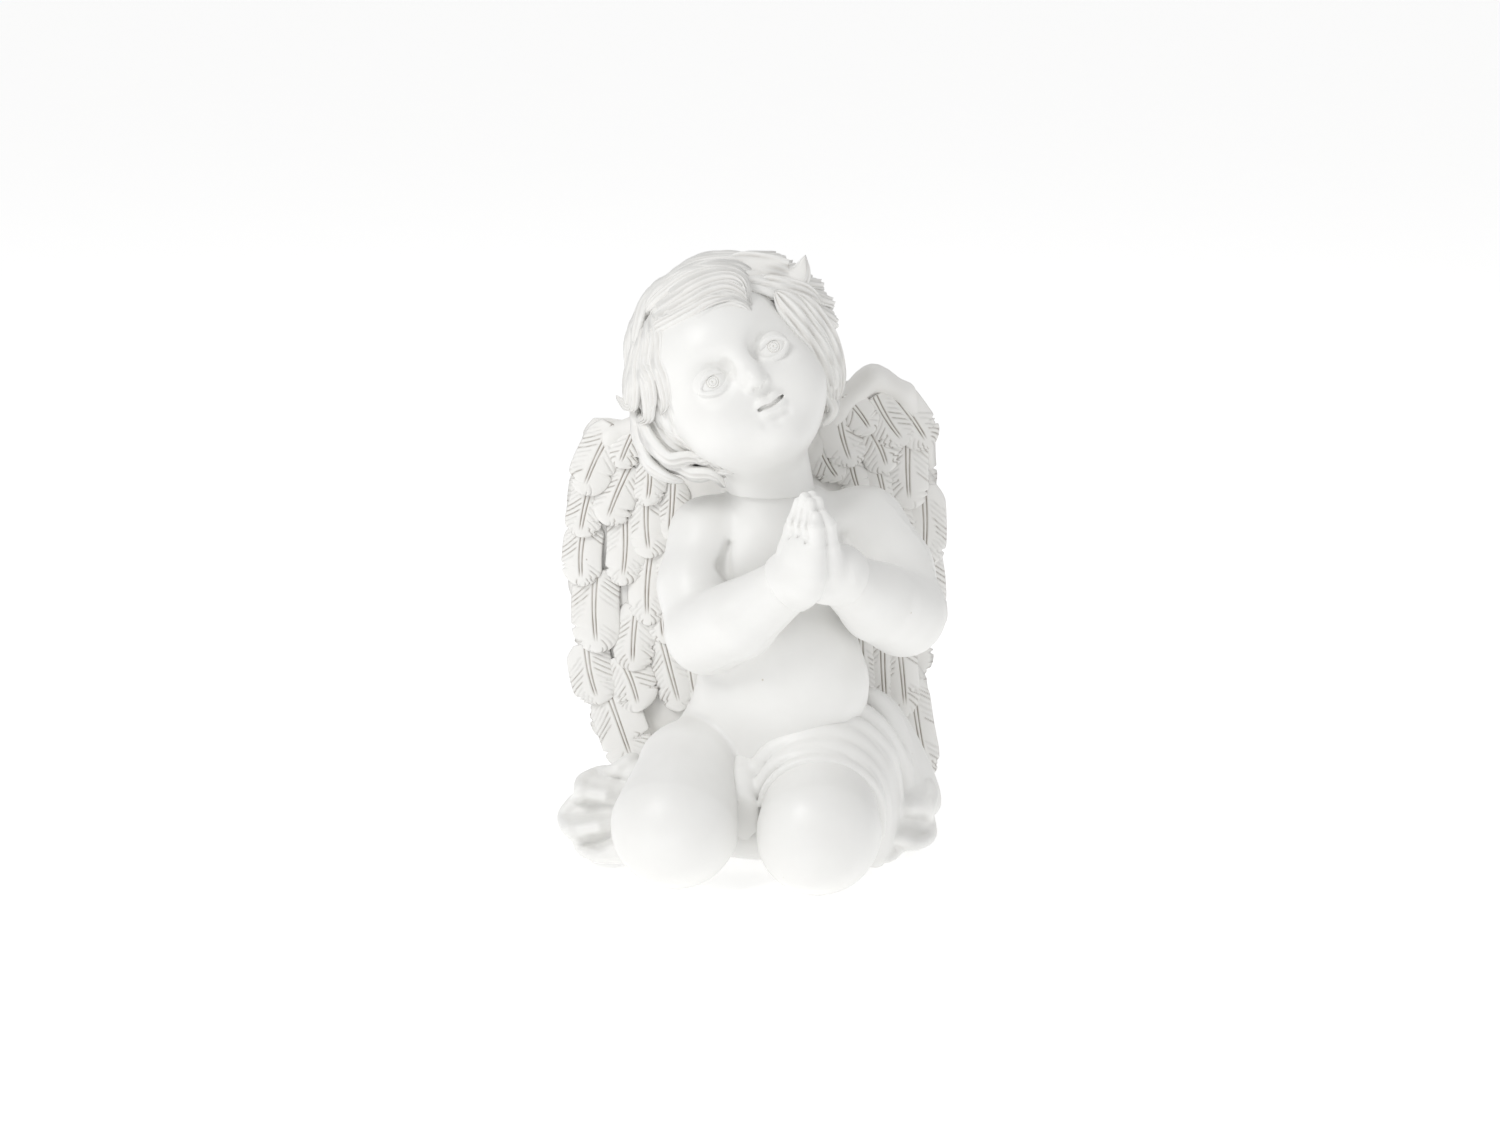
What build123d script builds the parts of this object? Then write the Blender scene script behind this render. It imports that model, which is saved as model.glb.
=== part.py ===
from build123d import *

import os
from math import asin, cos, pi, radians, sin

# A kneeling cherub in cast resin: a hollow body casting with a separately cast head, pair of
# praying hands and two wings. Steel pins hold the castings while the glue sets, and a disc closes
# the pouring hole underneath. Millimetres, +Z up, the face looks along -Y, and +X is the cherub's
# left. The origin is at the middle of the footprint, on the surface that the figurine stands on.

# ---- driving sizes -------------------------------------------------------------------------
HEIGHT = 200.0  # to the top of the hair
WIDTH = 122.0  # hem of the cloth to the other elbow
DEPTH = 112.0  # front of the left knee to the toes behind
GLUE_GAP = 0.15  # room for adhesive round every tenon and pin

HALF_WIDTH = WIDTH / 2
HALF_DEPTH = DEPTH / 2

# ---- the body's landmarks: (x, y, z) -----------------------------------------------------------
NECK = (7, 3, 120)  # centre of the glued neck joint
NECK_RADIUS = 12.5
RIGHT_SHOULDER = (-13, 3, 106)
LEFT_SHOULDER = (36, 4, 109)
RIGHT_ELBOW = (-13, -18, 76)
LEFT_ELBOW = (HALF_WIDTH - 13.5, -10, 82)
RIGHT_WRIST = (9.5, -37, 97)
LEFT_WRIST = (28.5, -37, 100)
RIGHT_HIP = (-10, 2, 40)
LEFT_HIP = (23, 4, 42)
RIGHT_KNEE = (-24, -35, 19.5)
LEFT_KNEE = (21, 19.5 - HALF_DEPTH, 19)
KNEE_RADIUS = 19.5
SHOULDER_RADIUS = 13.0
ELBOW_RADIUS = 13.5
WRIST_RADIUS = 8.5
TORSO_SECTIONS = [  # (height, centre x, centre y, half width, half depth)
    (12, 6, 8, 36, 24),
    (30, 7, 5, 36, 24),
    (50, 9, 1, 30, 21),
    (66, 9, -1, 29, 23),
    (86, 10, 2, 26, 19),
    (102, 11, 4, 27, 16),
    (114, 9, 4, 17, 13),
    (NECK[2], NECK[0], NECK[1], NECK_RADIUS, NECK_RADIUS),
]

# ---- the cloth under the figure ------------------------------------------------------------------
CLOTH_CENTRE = (0, 16)
CLOTH_HALF = (47, HALF_DEPTH - 18)
CLOTH_WAVES = 11
CLOTH_WAVE_DEPTH = 2.0
CLOTH_HEIGHT = 15.0
FOLD_RADIUS = 3.2  # of the rolled folds over the left thigh
FOLD_SHARES = (0.02, 0.2, 0.38, 0.56)  # of the way from the hip to the knee
# Rolls of the hem at each side: (upper end, its radius, lower end, its radius).
HEMS = [
    ((-38, 4, 24), 6, (9 - HALF_WIDTH, -4, 10), 9),
    ((-36, 14, 27), 6, (-49, 10, 11), 9),
    ((-34, 2, 15), 7, (-44, -10, 7), 7),
    ((-32, 22, 20), 7, (-42, 24, 9), 9),
    ((40, 2, 26), 7, (50, -2, 10), 9),
    ((38, 12, 26), 7, (50, 13, 11), 9),
    ((36, 20, 20), 8, (42, 26, 9), 9),
]
FOOT_RADIUS = 9.0
FEET_X = (-11, 23)

# ---- the hollow and its pouring hole -------------------------------------------------------------
CAVITY_SECTIONS = [  # (height, centre x, centre y, half width, half depth)
    (9, 7, 12, 17, 16),
    (30, 8, 9, 26, 18),
    (60, 9, 2, 21, 15),
    (84, 10, 3, 14, 8),
    (96, 11, 4, 8, 4),
]
POUR_HOLE_RADIUS = 13.0
POUR_HOLE_AT = (7, 12)
PLUG_THICKNESS = 4.0
PLUG_FLANGE = 3.0  # how much wider the counterbore is than the hole
PLUG_RECESS = 1.0  # the disc sits this far above the surface underneath

# ---- the head, in its own tilted frame -------------------------------------------------------------
HEAD_AT = (-7, -6, 158)
HEAD_TURN = 18.0  # towards the cherub's left, in degrees
HEAD_LEAN = -28.0  # the crown goes towards the cherub's right
HEAD_LIFT = -9.0  # the chin comes up
SKULL_HALF = (25, 28)  # across and upright
HAIR_AT = (-9, 7, 165)
HAIR_RADIUS = 30.0
# Rounded features of the face: (centre x, centre y, centre z, radius), looking along -Y.
FEATURES = [
    (-11, -11, -13, 12.5),  # cheeks
    (11, -11, -13, 12.5),
    (-10.8, -17.5, 0, 5.5),  # eyes
    (10.8, -17.5, 0, 5.5),
    (0, -17, -21, 8.5),  # chin
]
NOSE = ((0, -23, 1), 2.2, (0, -26.5, -7), 3.2)
LIPS = ((-5.5, -22.3, -14), (0, -23, -15), (5.5, -22.3, -14))
LIP_RADIUS = 1.5
# Locks of hair: (root, root radius, tip, tip radius).
LOCKS = [
    ((-26, -15, 174), 7, (-37, -12, 148), 5),
    ((-34, -3, 172), 7, (-40, -2, 146), 4),
    ((-33, -8, 150), 6, (-25, -12, 131), 4),
    ((-27, -12, 136), 5, (-11, -13, 126), 3),
    ((-30, -14, 176), 6, (-12, -27, 181), 5),
    ((-12, -27, 181), 5, (-4, -30, 174), 3),
    ((-26, -4, 184), 8, (2, -14, 190), 6),
    ((-30, 4, 182), 8, (-14, 2, HEIGHT - 6), 6),
    ((-14, 2, HEIGHT - 6), 6, (8, -4, 188), 6),
    ((6, -4, 190), 5, (15, -3, 196), 2),
    ((12, -8, 184), 7, (23, -5, 172), 5),
    ((21, -2, 178), 6, (24, 0, 156), 4),
    ((22, 0, 158), 5, (21, -6, 144), 3),
]
NAPE_LOCKS = 6  # that hang behind, from side to side

# ---- the hands ---------------------------------------------------------------------------------------
FINGERTIPS = (17, -43, 127)
PALM_RADIUS = 6.6
FINGER_RADIUS = 2.5
FINGER_COUNT = 4

# ---- the wings: outlines are (x, z) pairs from the root's top, round the tip -----------------------
WING_SWEEP = 14.0  # degrees that a wing turns back from the shoulders
WING_THICKNESS = 7.0
SPINE = (10, 24.5)  # x and y where the two wings' fronts would meet
FEATHER_THICKNESS = 1.6
QUILL_START = 2.5  # below the top of its feather
RIGHT_WING = [
    (5, 102), (-5, 120), (-19, 136), (-35, 142), (-49, 138), (-57, 122), (-59.5, 98), (-58, 76),
    (-53, 54), (-45, 38), (-36, 26), (-24, 33), (-10, 44), (5, 62),
]
LEFT_WING = [
    (16, 106), (19, 126), (28, 146), (39, 156), (50, 149), (57, 130), (59.5, 106), (59, 80),
    (54, 60), (52, 42), (57, 24), (46, 24), (34, 34), (22, 48), (16, 66),
]
# Rows of feathers: (quill x, quill height, length, width, lean in degrees) of the row's first
# feather, the step to the next one, and how many.
RIGHT_ROWS = [
    ((-13, 76, 36, 12, 20), (-10.7, -2, 2, 0, -2), 4),
    ((-16, 97, 32, 12, 6), (-11.5, 0, 1, 0, 0), 4),
    ((-17, 119, 28, 12, -2), (-11.5, 0, 0.5, 0, 0), 4),
    ((-22, 134, 22, 11, -8), (-9, 0, 1, 0.5, -1), 4),
]
LEFT_ROWS = [
    ((25, 78, 32, 12, -5), (8.5, -2, 6.4, 0, 3), 4),
    ((22, 102, 34, 12, -3), (9.8, 0, 0, 0, 2), 4),
    ((22, 124, 28, 12, 2), (9.4, 2, 0, 0, 2), 4),
    ((25, 140, 20, 11, 8), (9, 4, 0, 0, 5), 3),
]

# ---- tenons and pins -------------------------------------------------------------------------------------
TENON = (12, 26)  # each wing's root block, across and high
TENON_FRONT = 15.0  # how far it stands forward of the wing
TENON_BACK = 3.0  # how deep it is rooted in the wing
RIGHT_TENON_AT = (-13, 92)  # x from the spine, and height
LEFT_TENON_AT = (13, 94)
WING_PIN = (1.5, 12)  # radius, length
WING_PIN_SPACING = 15.0
NECK_DOWEL = (3.0, 22)
WRIST_PIN = (1.0, 10)


def steady(point, toward):
    """A plane at point whose x runs toward the other point, for profiles that are revolved."""
    along = (Vector(*toward) - Vector(*point)).normalized()
    upright = Vector(0, 0, 1) if abs(along.Z) < 0.9 else Vector(0, 1, 0)
    return Plane(origin=point, x_dir=along, z_dir=along.cross(upright))


def limb(start, start_radius, end, end_radius, mode=Mode.ADD):
    """A round-ended limb that tapers from one ball to another, revolved about the line between."""
    plane = steady(start, end)
    length = (Vector(*end) - Vector(*start)).length
    lean = asin((start_radius - end_radius) / length)
    first = (start_radius * sin(lean), start_radius * cos(lean))
    second = (length + end_radius * sin(lean), end_radius * cos(lean))
    rear, fore = (lean - pi / 2) / 2, (lean + pi / 2) / 2
    with BuildSketch(plane) as profile:
        with BuildLine():
            ThreePointArc(
                (-start_radius, 0), (start_radius * sin(rear), start_radius * cos(rear)), first
            )
            Line(first, second)
            ThreePointArc(
                second,
                (length + end_radius * sin(fore), end_radius * cos(fore)),
                (length + end_radius, 0),
            )
            Line((length + end_radius, 0), (-start_radius, 0))
        make_face()
    return revolve(profile.sketch, axis=Axis(plane.origin, plane.x_dir), mode=mode)


def egg(centre, upright, half_across, half_high):
    """An ellipsoid of revolution about a chosen direction."""
    plane = steady(centre, tuple(Vector(*centre) + Vector(*upright)))
    with BuildSketch(plane) as profile:
        with BuildLine():
            EllipticalCenterArc((0, 0), half_high, half_across, start_angle=0, arc_size=180)
            Line((-half_high, 0), (half_high, 0))
        make_face()
    revolve(profile.sketch, axis=Axis(plane.origin, plane.x_dir))


def stack(sections, mode=Mode.ADD):
    """A smooth column through level ellipses."""
    slices = []
    for height, x, y, half_x, half_y in sections:
        with BuildSketch(Plane.XY.offset(height)) as level:
            with Locations((x, y)):
                Ellipse(half_x, half_y)
        slices.append(level.sketch)
    loft(slices, mode=mode)


def peg(centre, direction, radius, length, mode=Mode.ADD):
    """A straight round pin about its middle."""
    plane = Plane(origin=centre, z_dir=direction)
    with BuildSketch(plane.offset(-length / 2)) as end:
        Circle(radius)
    extrude(end.sketch, amount=length, mode=mode)


def between(a, b, share):
    """The point that far along the line from a to b."""
    return tuple(Vector(*a) + (Vector(*b) - Vector(*a)) * share)


# ---- wings --------------------------------------------------------------------------------------------
def wing_front(side):
    """The plane of a wing's front: x across the wing from the spine, y up, facing forwards."""
    sweep = radians(WING_SWEEP)
    return Plane(
        origin=(*SPINE, 0),
        x_dir=(cos(sweep), side * sin(sweep), 0),
        z_dir=(side * sin(sweep), -cos(sweep), 0),
    )


def across_wing(x):
    """Distance along the swept wing of a point that is x to the side of the origin."""
    return (x - SPINE[0]) / cos(radians(WING_SWEEP))


def plate(plane, outline, amount):
    """A feather's blade or quill as a plate that isn't joined to the wing yet."""
    x, z, length, width, lean = outline
    down = radians(lean - 90)
    middle = (across_wing(x) + cos(down) * length / 2, z + sin(down) * length / 2)
    with BuildSketch(plane) as blade:
        with Locations(Location(middle, lean - 90)):
            SlotOverall(length, width)
    return extrude(blade.sketch, amount=amount, mode=Mode.PRIVATE)


def feathers(plane, rows, facing):
    """Rows from the lowest up, each lying further out than the row below it."""
    plates = []
    for level, (first, step, count) in enumerate(rows):
        for n in range(count):
            outline = [a + n * b for a, b in zip(first, step)]
            proud = FEATHER_THICKNESS * (1 + 0.8 * level + 0.4 * (n % 2))
            plates.append(plate(plane, outline, facing * proud))
    return plates


def quills(plane, rows):
    """The raised quill down the middle of each feather at the front."""
    ribs = []
    for level, (first, step, count) in enumerate(rows):
        for n in range(count):
            x, z, length, width, lean = [a + n * b for a, b in zip(first, step)]
            x += QUILL_START * sin(radians(lean))
            z -= QUILL_START * cos(radians(lean))
            proud = FEATHER_THICKNESS * (1.3 + 0.8 * level + 0.4 * (n % 2))
            ribs.append(plate(plane, (x, z, length * 0.8, width / 7, lean), proud))
    return ribs


def tenon(side, at, mode=Mode.ADD, gap=0.0):
    """The block at a wing's root that is glued into the back."""
    front = wing_front(side)
    with BuildSketch(front.offset(-TENON_BACK)) as block:
        with Locations(at):
            Rectangle(TENON[0] + 2 * gap, TENON[1] + 2 * gap)
    extrude(block.sketch, amount=TENON_BACK + TENON_FRONT + gap, mode=mode)


def wing_pins(side, at, mode=Mode.ADD, gap=0.0):
    """The two steel pins that run from a wing's tenon into the back."""
    plane = wing_front(side).offset(TENON_FRONT)
    for up in (-WING_PIN_SPACING / 2, WING_PIN_SPACING / 2):
        centre = plane.from_local_coords((at[0], at[1] + up, 0))
        peg(tuple(centre), tuple(plane.z_dir), WING_PIN[0] + gap, WING_PIN[1] + 2 * gap, mode)


def wing(side, outline, rows, tenon_at):
    """A wing casting: the slab, its feathers on both faces, and the tenon at its root."""
    front = wing_front(side)
    with BuildSketch(front) as shape:
        with BuildLine():
            Spline(*[(across_wing(x), z) for x, z in outline], periodic=True)
        make_face()
    extrude(shape.sketch, amount=-WING_THICKNESS)
    add(feathers(front, rows, 1))
    add(quills(front, rows))
    add(feathers(front.offset(-WING_THICKNESS), rows[1:], -1))
    tenon(side, tenon_at)
    wing_pins(side, tenon_at, Mode.SUBTRACT, GLUE_GAP)


with BuildPart() as right_wing:
    wing(-1, RIGHT_WING, RIGHT_ROWS, RIGHT_TENON_AT)

with BuildPart() as left_wing:
    wing(1, LEFT_WING, LEFT_ROWS, LEFT_TENON_AT)

with BuildPart() as right_wing_pins:
    wing_pins(-1, RIGHT_TENON_AT)

with BuildPart() as left_wing_pins:
    wing_pins(1, LEFT_TENON_AT)

# ---- head ---------------------------------------------------------------------------------------------
HEAD = (
    Location(HEAD_AT)
    * Location((0, 0, 0), (0, HEAD_LEAN, 0))
    * Location((0, 0, 0), (0, 0, HEAD_TURN))
    * Location((0, 0, 0), (HEAD_LIFT, 0, 0))
)


def on_head(x, y, z):
    """A place given in the head's own frame, where the face looks along -Y."""
    return tuple((HEAD * Location((x, y, z))).position)


def neck_dowel_at(mode=Mode.ADD, gap=0.0):
    """The dowel through the neck joint, half in each casting."""
    peg(NECK, (0, 0, 1), NECK_DOWEL[0] + gap, NECK_DOWEL[1] + 2 * gap, mode)


with BuildPart() as head:
    egg(HEAD_AT, tuple(Vector(*on_head(0, 0, 1)) - Vector(*HEAD_AT)), *SKULL_HALF)
    with Locations(HAIR_AT):
        Sphere(HAIR_RADIUS)
    for x, y, z, radius in FEATURES:
        with Locations(on_head(x, y, z)):
            Sphere(radius)
    limb(on_head(*NOSE[0]), NOSE[1], on_head(*NOSE[2]), NOSE[3])
    for corner in (LIPS[0], LIPS[2]):
        limb(on_head(*LIPS[1]), LIP_RADIUS, on_head(*corner), LIP_RADIUS * 0.6)
    limb(on_head(0, -4, -16), NECK_RADIUS + 1, (NECK[0], NECK[1], NECK[2] + 4), NECK_RADIUS)
    for root, root_radius, tip, tip_radius in LOCKS:
        limb(root, root_radius, tip, tip_radius)
    for n in range(NAPE_LOCKS):
        side, back = cos(pi * n / (NAPE_LOCKS - 1)), sin(pi * n / (NAPE_LOCKS - 1))
        root = (HAIR_AT[0] - 23 * side, HAIR_AT[1] + 23 * back, HAIR_AT[2] - 8)
        tip = (HAIR_AT[0] + 6 - 17 * side, HAIR_AT[1] + 13 * back, NECK[2] + 15)
        limb(root, 9, tip, 5)
    split(bisect_by=Plane.XY.offset(NECK[2]), keep=Keep.TOP)
    neck_dowel_at(Mode.SUBTRACT, GLUE_GAP)

with BuildPart() as neck_dowel:
    neck_dowel_at()


# ---- hands --------------------------------------------------------------------------------------------
def wrist_cut(elbow, wrist):
    """The glued face at a wrist, square to the forearm."""
    return Plane(origin=wrist, z_dir=Vector(*wrist) - Vector(*elbow))


def wrist_pin(elbow, wrist, mode=Mode.ADD, gap=0.0):
    """The short pin through a wrist joint."""
    along = tuple(Vector(*wrist) - Vector(*elbow))
    peg(wrist, along, WRIST_PIN[0] + gap, WRIST_PIN[1] + 2 * gap, mode)


def hand(side, elbow, wrist):
    """A palm with its fingers and thumb; the wrist end is cut square."""
    heel = between(between(elbow, wrist, 1.12), FINGERTIPS, 0.12)
    knuckles = between(heel, FINGERTIPS, 0.5)
    cuff = limb(between(elbow, wrist, 0.9), WRIST_RADIUS, heel, PALM_RADIUS, Mode.PRIVATE)
    add(split(cuff, bisect_by=wrist_cut(elbow, wrist), keep=Keep.TOP, mode=Mode.PRIVATE))
    limb(heel, PALM_RADIUS, knuckles, PALM_RADIUS - 1)
    for n in range(FINGER_COUNT):
        spread = (n - (FINGER_COUNT - 1) / 2) * FINGER_RADIUS * 1.5
        start = (knuckles[0] + side, knuckles[1] + spread, knuckles[2])
        tip = (FINGERTIPS[0] + side * 2, FINGERTIPS[1] + spread, FINGERTIPS[2] - abs(spread) / 2)
        limb(start, FINGER_RADIUS + 0.6, tip, FINGER_RADIUS)
    thumb = between(heel, FINGERTIPS, 0.55)
    limb(
        (heel[0], heel[1] - 3, heel[2] + 2),
        FINGER_RADIUS + 1,
        (thumb[0] + side * 2, thumb[1] - PALM_RADIUS, thumb[2]),
        FINGER_RADIUS,
    )


with BuildPart() as hands:
    hand(-1, RIGHT_ELBOW, RIGHT_WRIST)
    hand(1, LEFT_ELBOW, LEFT_WRIST)
    wrist_pin(RIGHT_ELBOW, RIGHT_WRIST, Mode.SUBTRACT, GLUE_GAP)
    wrist_pin(LEFT_ELBOW, LEFT_WRIST, Mode.SUBTRACT, GLUE_GAP)

with BuildPart() as wrist_pins:
    wrist_pin(RIGHT_ELBOW, RIGHT_WRIST)
    wrist_pin(LEFT_ELBOW, LEFT_WRIST)


# ---- body ---------------------------------------------------------------------------------------------
def arm(shoulder, elbow, wrist):
    """An upper arm and a forearm that ends square at the wrist joint."""
    limb(shoulder, SHOULDER_RADIUS, elbow, ELBOW_RADIUS - 1)
    forearm = limb(elbow, ELBOW_RADIUS, wrist, WRIST_RADIUS, Mode.PRIVATE)
    add(split(forearm, bisect_by=wrist_cut(elbow, wrist), keep=Keep.BOTTOM, mode=Mode.PRIVATE))


def leg(hip, hip_radius, knee, foot_x):
    """A thigh, the knee, the shin folded back under it, and the upturned foot."""
    limb(hip, hip_radius, knee, KNEE_RADIUS)
    ankle = (foot_x, HALF_DEPTH - 20, FOOT_RADIUS)
    limb((knee[0], knee[1] + 8, 12), 11, ankle, FOOT_RADIUS - 1.5)
    limb(ankle, FOOT_RADIUS - 1, (foot_x, HALF_DEPTH - FOOT_RADIUS, 12), FOOT_RADIUS)


def cloth_outline():
    """Points round the wavy edge of the cloth that the figure kneels on, worked out by a formula."""
    count = CLOTH_WAVES * 4
    points = []
    for n in range(count):
        turn = 2 * pi * n / count
        wave = CLOTH_WAVE_DEPTH * (cos(CLOTH_WAVES * turn) - 1)
        x = CLOTH_CENTRE[0] + (CLOTH_HALF[0] + wave) * cos(turn)
        points.append((x, CLOTH_CENTRE[1] + (CLOTH_HALF[1] + wave) * sin(turn)))
    return points


def cloth():
    """The spread cloth, its ruffled hems and the folds rolled over the left thigh."""
    with BuildSketch() as spread:
        with BuildLine():
            Spline(*cloth_outline(), periodic=True)
        make_face()
    extrude(spread.sketch, amount=CLOTH_HEIGHT)
    for upper, upper_radius, lower, lower_radius in HEMS:
        limb(upper, upper_radius, lower, lower_radius)
    thigh = Vector(*LEFT_KNEE) - Vector(*LEFT_HIP)
    for share in FOLD_SHARES:
        fold = Plane(origin=between(LEFT_HIP, LEFT_KNEE, share), z_dir=thigh)
        with Locations(fold.location):
            Torus(KNEE_RADIUS + 0.5, FOLD_RADIUS)


with BuildPart() as body:
    stack(TORSO_SECTIONS)
    leg(RIGHT_HIP, 15, RIGHT_KNEE, FEET_X[0])
    leg(LEFT_HIP, 20, LEFT_KNEE, FEET_X[1])
    cloth()
    arm(RIGHT_SHOULDER, RIGHT_ELBOW, RIGHT_WRIST)
    arm(LEFT_SHOULDER, LEFT_ELBOW, LEFT_WRIST)
    split(bisect_by=Plane.XY, keep=Keep.TOP)
    stack(CAVITY_SECTIONS, Mode.SUBTRACT)
    with Locations((*POUR_HOLE_AT, 0)):
        CounterBoreHole(
            POUR_HOLE_RADIUS,
            POUR_HOLE_RADIUS + PLUG_FLANGE,
            PLUG_RECESS + PLUG_THICKNESS / 2,
            depth=12,
        )
    tenon(-1, RIGHT_TENON_AT, Mode.SUBTRACT, GLUE_GAP)
    tenon(1, LEFT_TENON_AT, Mode.SUBTRACT, GLUE_GAP)
    wing_pins(-1, RIGHT_TENON_AT, Mode.SUBTRACT, GLUE_GAP)
    wing_pins(1, LEFT_TENON_AT, Mode.SUBTRACT, GLUE_GAP)
    neck_dowel_at(Mode.SUBTRACT, GLUE_GAP)
    wrist_pin(RIGHT_ELBOW, RIGHT_WRIST, Mode.SUBTRACT, GLUE_GAP)
    wrist_pin(LEFT_ELBOW, LEFT_WRIST, Mode.SUBTRACT, GLUE_GAP)

# ---- the disc that closes the pouring hole ---------------------------------------------------------
with BuildPart() as base_plug:
    with BuildSketch(Plane.XY.offset(PLUG_RECESS)) as flange:
        with Locations(POUR_HOLE_AT):
            Circle(POUR_HOLE_RADIUS + PLUG_FLANGE - GLUE_GAP)
    extrude(amount=PLUG_THICKNESS / 2)
    with BuildSketch(Plane.XY.offset(PLUG_RECESS + PLUG_THICKNESS / 2)) as spigot:
        with Locations(POUR_HOLE_AT):
            Circle(POUR_HOLE_RADIUS - GLUE_GAP)
    extrude(amount=PLUG_THICKNESS / 2)

# ---- write the castings ------------------------------------------------------------------------------
PIECES = {
    "body_casting": body,
    "head_casting": head,
    "praying_hands": hands,
    "right_wing": right_wing,
    "left_wing": left_wing,
    "neck_dowel": neck_dowel,
    "wrist_pins": wrist_pins,
    "right_wing_pins": right_wing_pins,
    "left_wing_pins": left_wing_pins,
    "base_plug": base_plug,
}
os.makedirs("parts", exist_ok=True)
for name, piece in PIECES.items():
    piece.part.label = name
    export_step(piece.part, f"parts/{name}.step")
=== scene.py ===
# %% [markdown]
# # A kneeling cherub in cast resin
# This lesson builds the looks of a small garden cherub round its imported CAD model: the plump body,
# the tilted head with its carved curls, the praying hands, the feathered wings and the cloth.
# Every piece is a surface worked out with numpy, so that a size or a curve is changed by changing
# one number. We start by loading the fixed frame and by measuring one millimetre of it.

# %% Load the frame and measure a millimetre
import math

import bmesh
import bpy
import numpy as np
from mathutils import Matrix, Vector


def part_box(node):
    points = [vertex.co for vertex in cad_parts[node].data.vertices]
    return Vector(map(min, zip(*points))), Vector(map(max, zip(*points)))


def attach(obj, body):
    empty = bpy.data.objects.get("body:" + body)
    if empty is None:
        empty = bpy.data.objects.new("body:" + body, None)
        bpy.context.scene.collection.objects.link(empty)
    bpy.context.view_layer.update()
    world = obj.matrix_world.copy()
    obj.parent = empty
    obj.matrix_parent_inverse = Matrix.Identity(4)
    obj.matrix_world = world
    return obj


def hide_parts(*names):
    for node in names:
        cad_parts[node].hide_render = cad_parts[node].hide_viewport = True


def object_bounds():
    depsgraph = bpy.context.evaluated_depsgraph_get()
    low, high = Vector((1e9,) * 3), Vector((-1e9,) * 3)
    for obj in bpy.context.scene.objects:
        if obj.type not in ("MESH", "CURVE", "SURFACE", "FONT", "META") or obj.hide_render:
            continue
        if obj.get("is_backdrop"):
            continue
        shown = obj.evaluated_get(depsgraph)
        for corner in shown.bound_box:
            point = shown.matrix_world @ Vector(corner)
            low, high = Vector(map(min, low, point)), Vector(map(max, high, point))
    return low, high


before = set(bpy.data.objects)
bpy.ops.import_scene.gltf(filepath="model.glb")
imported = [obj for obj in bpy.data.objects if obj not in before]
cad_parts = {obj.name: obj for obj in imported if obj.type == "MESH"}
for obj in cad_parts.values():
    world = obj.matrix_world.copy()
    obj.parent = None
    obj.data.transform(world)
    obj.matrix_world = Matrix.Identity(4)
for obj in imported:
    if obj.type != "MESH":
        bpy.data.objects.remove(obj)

CAD_LOW, CAD_HIGH = (list(corner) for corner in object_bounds())
TALL = 200.0  # millimetres, as the sizes below are written
MM = (CAD_HIGH[2] - CAD_LOW[2]) / TALL
EYE_LEVEL = math.radians(12)  # how far the viewer looks down on the figure
print("one millimetre is", round(MM, 6), "m; the model is", CAD_LOW, "to", CAD_HIGH)

# %% [markdown]
# ## Clay
# The real figure was modelled in clay, where one lump is pressed into the next. The same can be
# done with numbers: a block of points holds, at each point, the distance to the surface. Two lumps
# join by taking the smaller distance, and a soft join takes a little more off where the two are
# nearly equal. It could be done with metaballs, but these can't be cut back with a crisp edge.


# %% The block of clay
EMPTY = 12.0  # millimetres from any surface, before a first lump is pressed in


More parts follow.
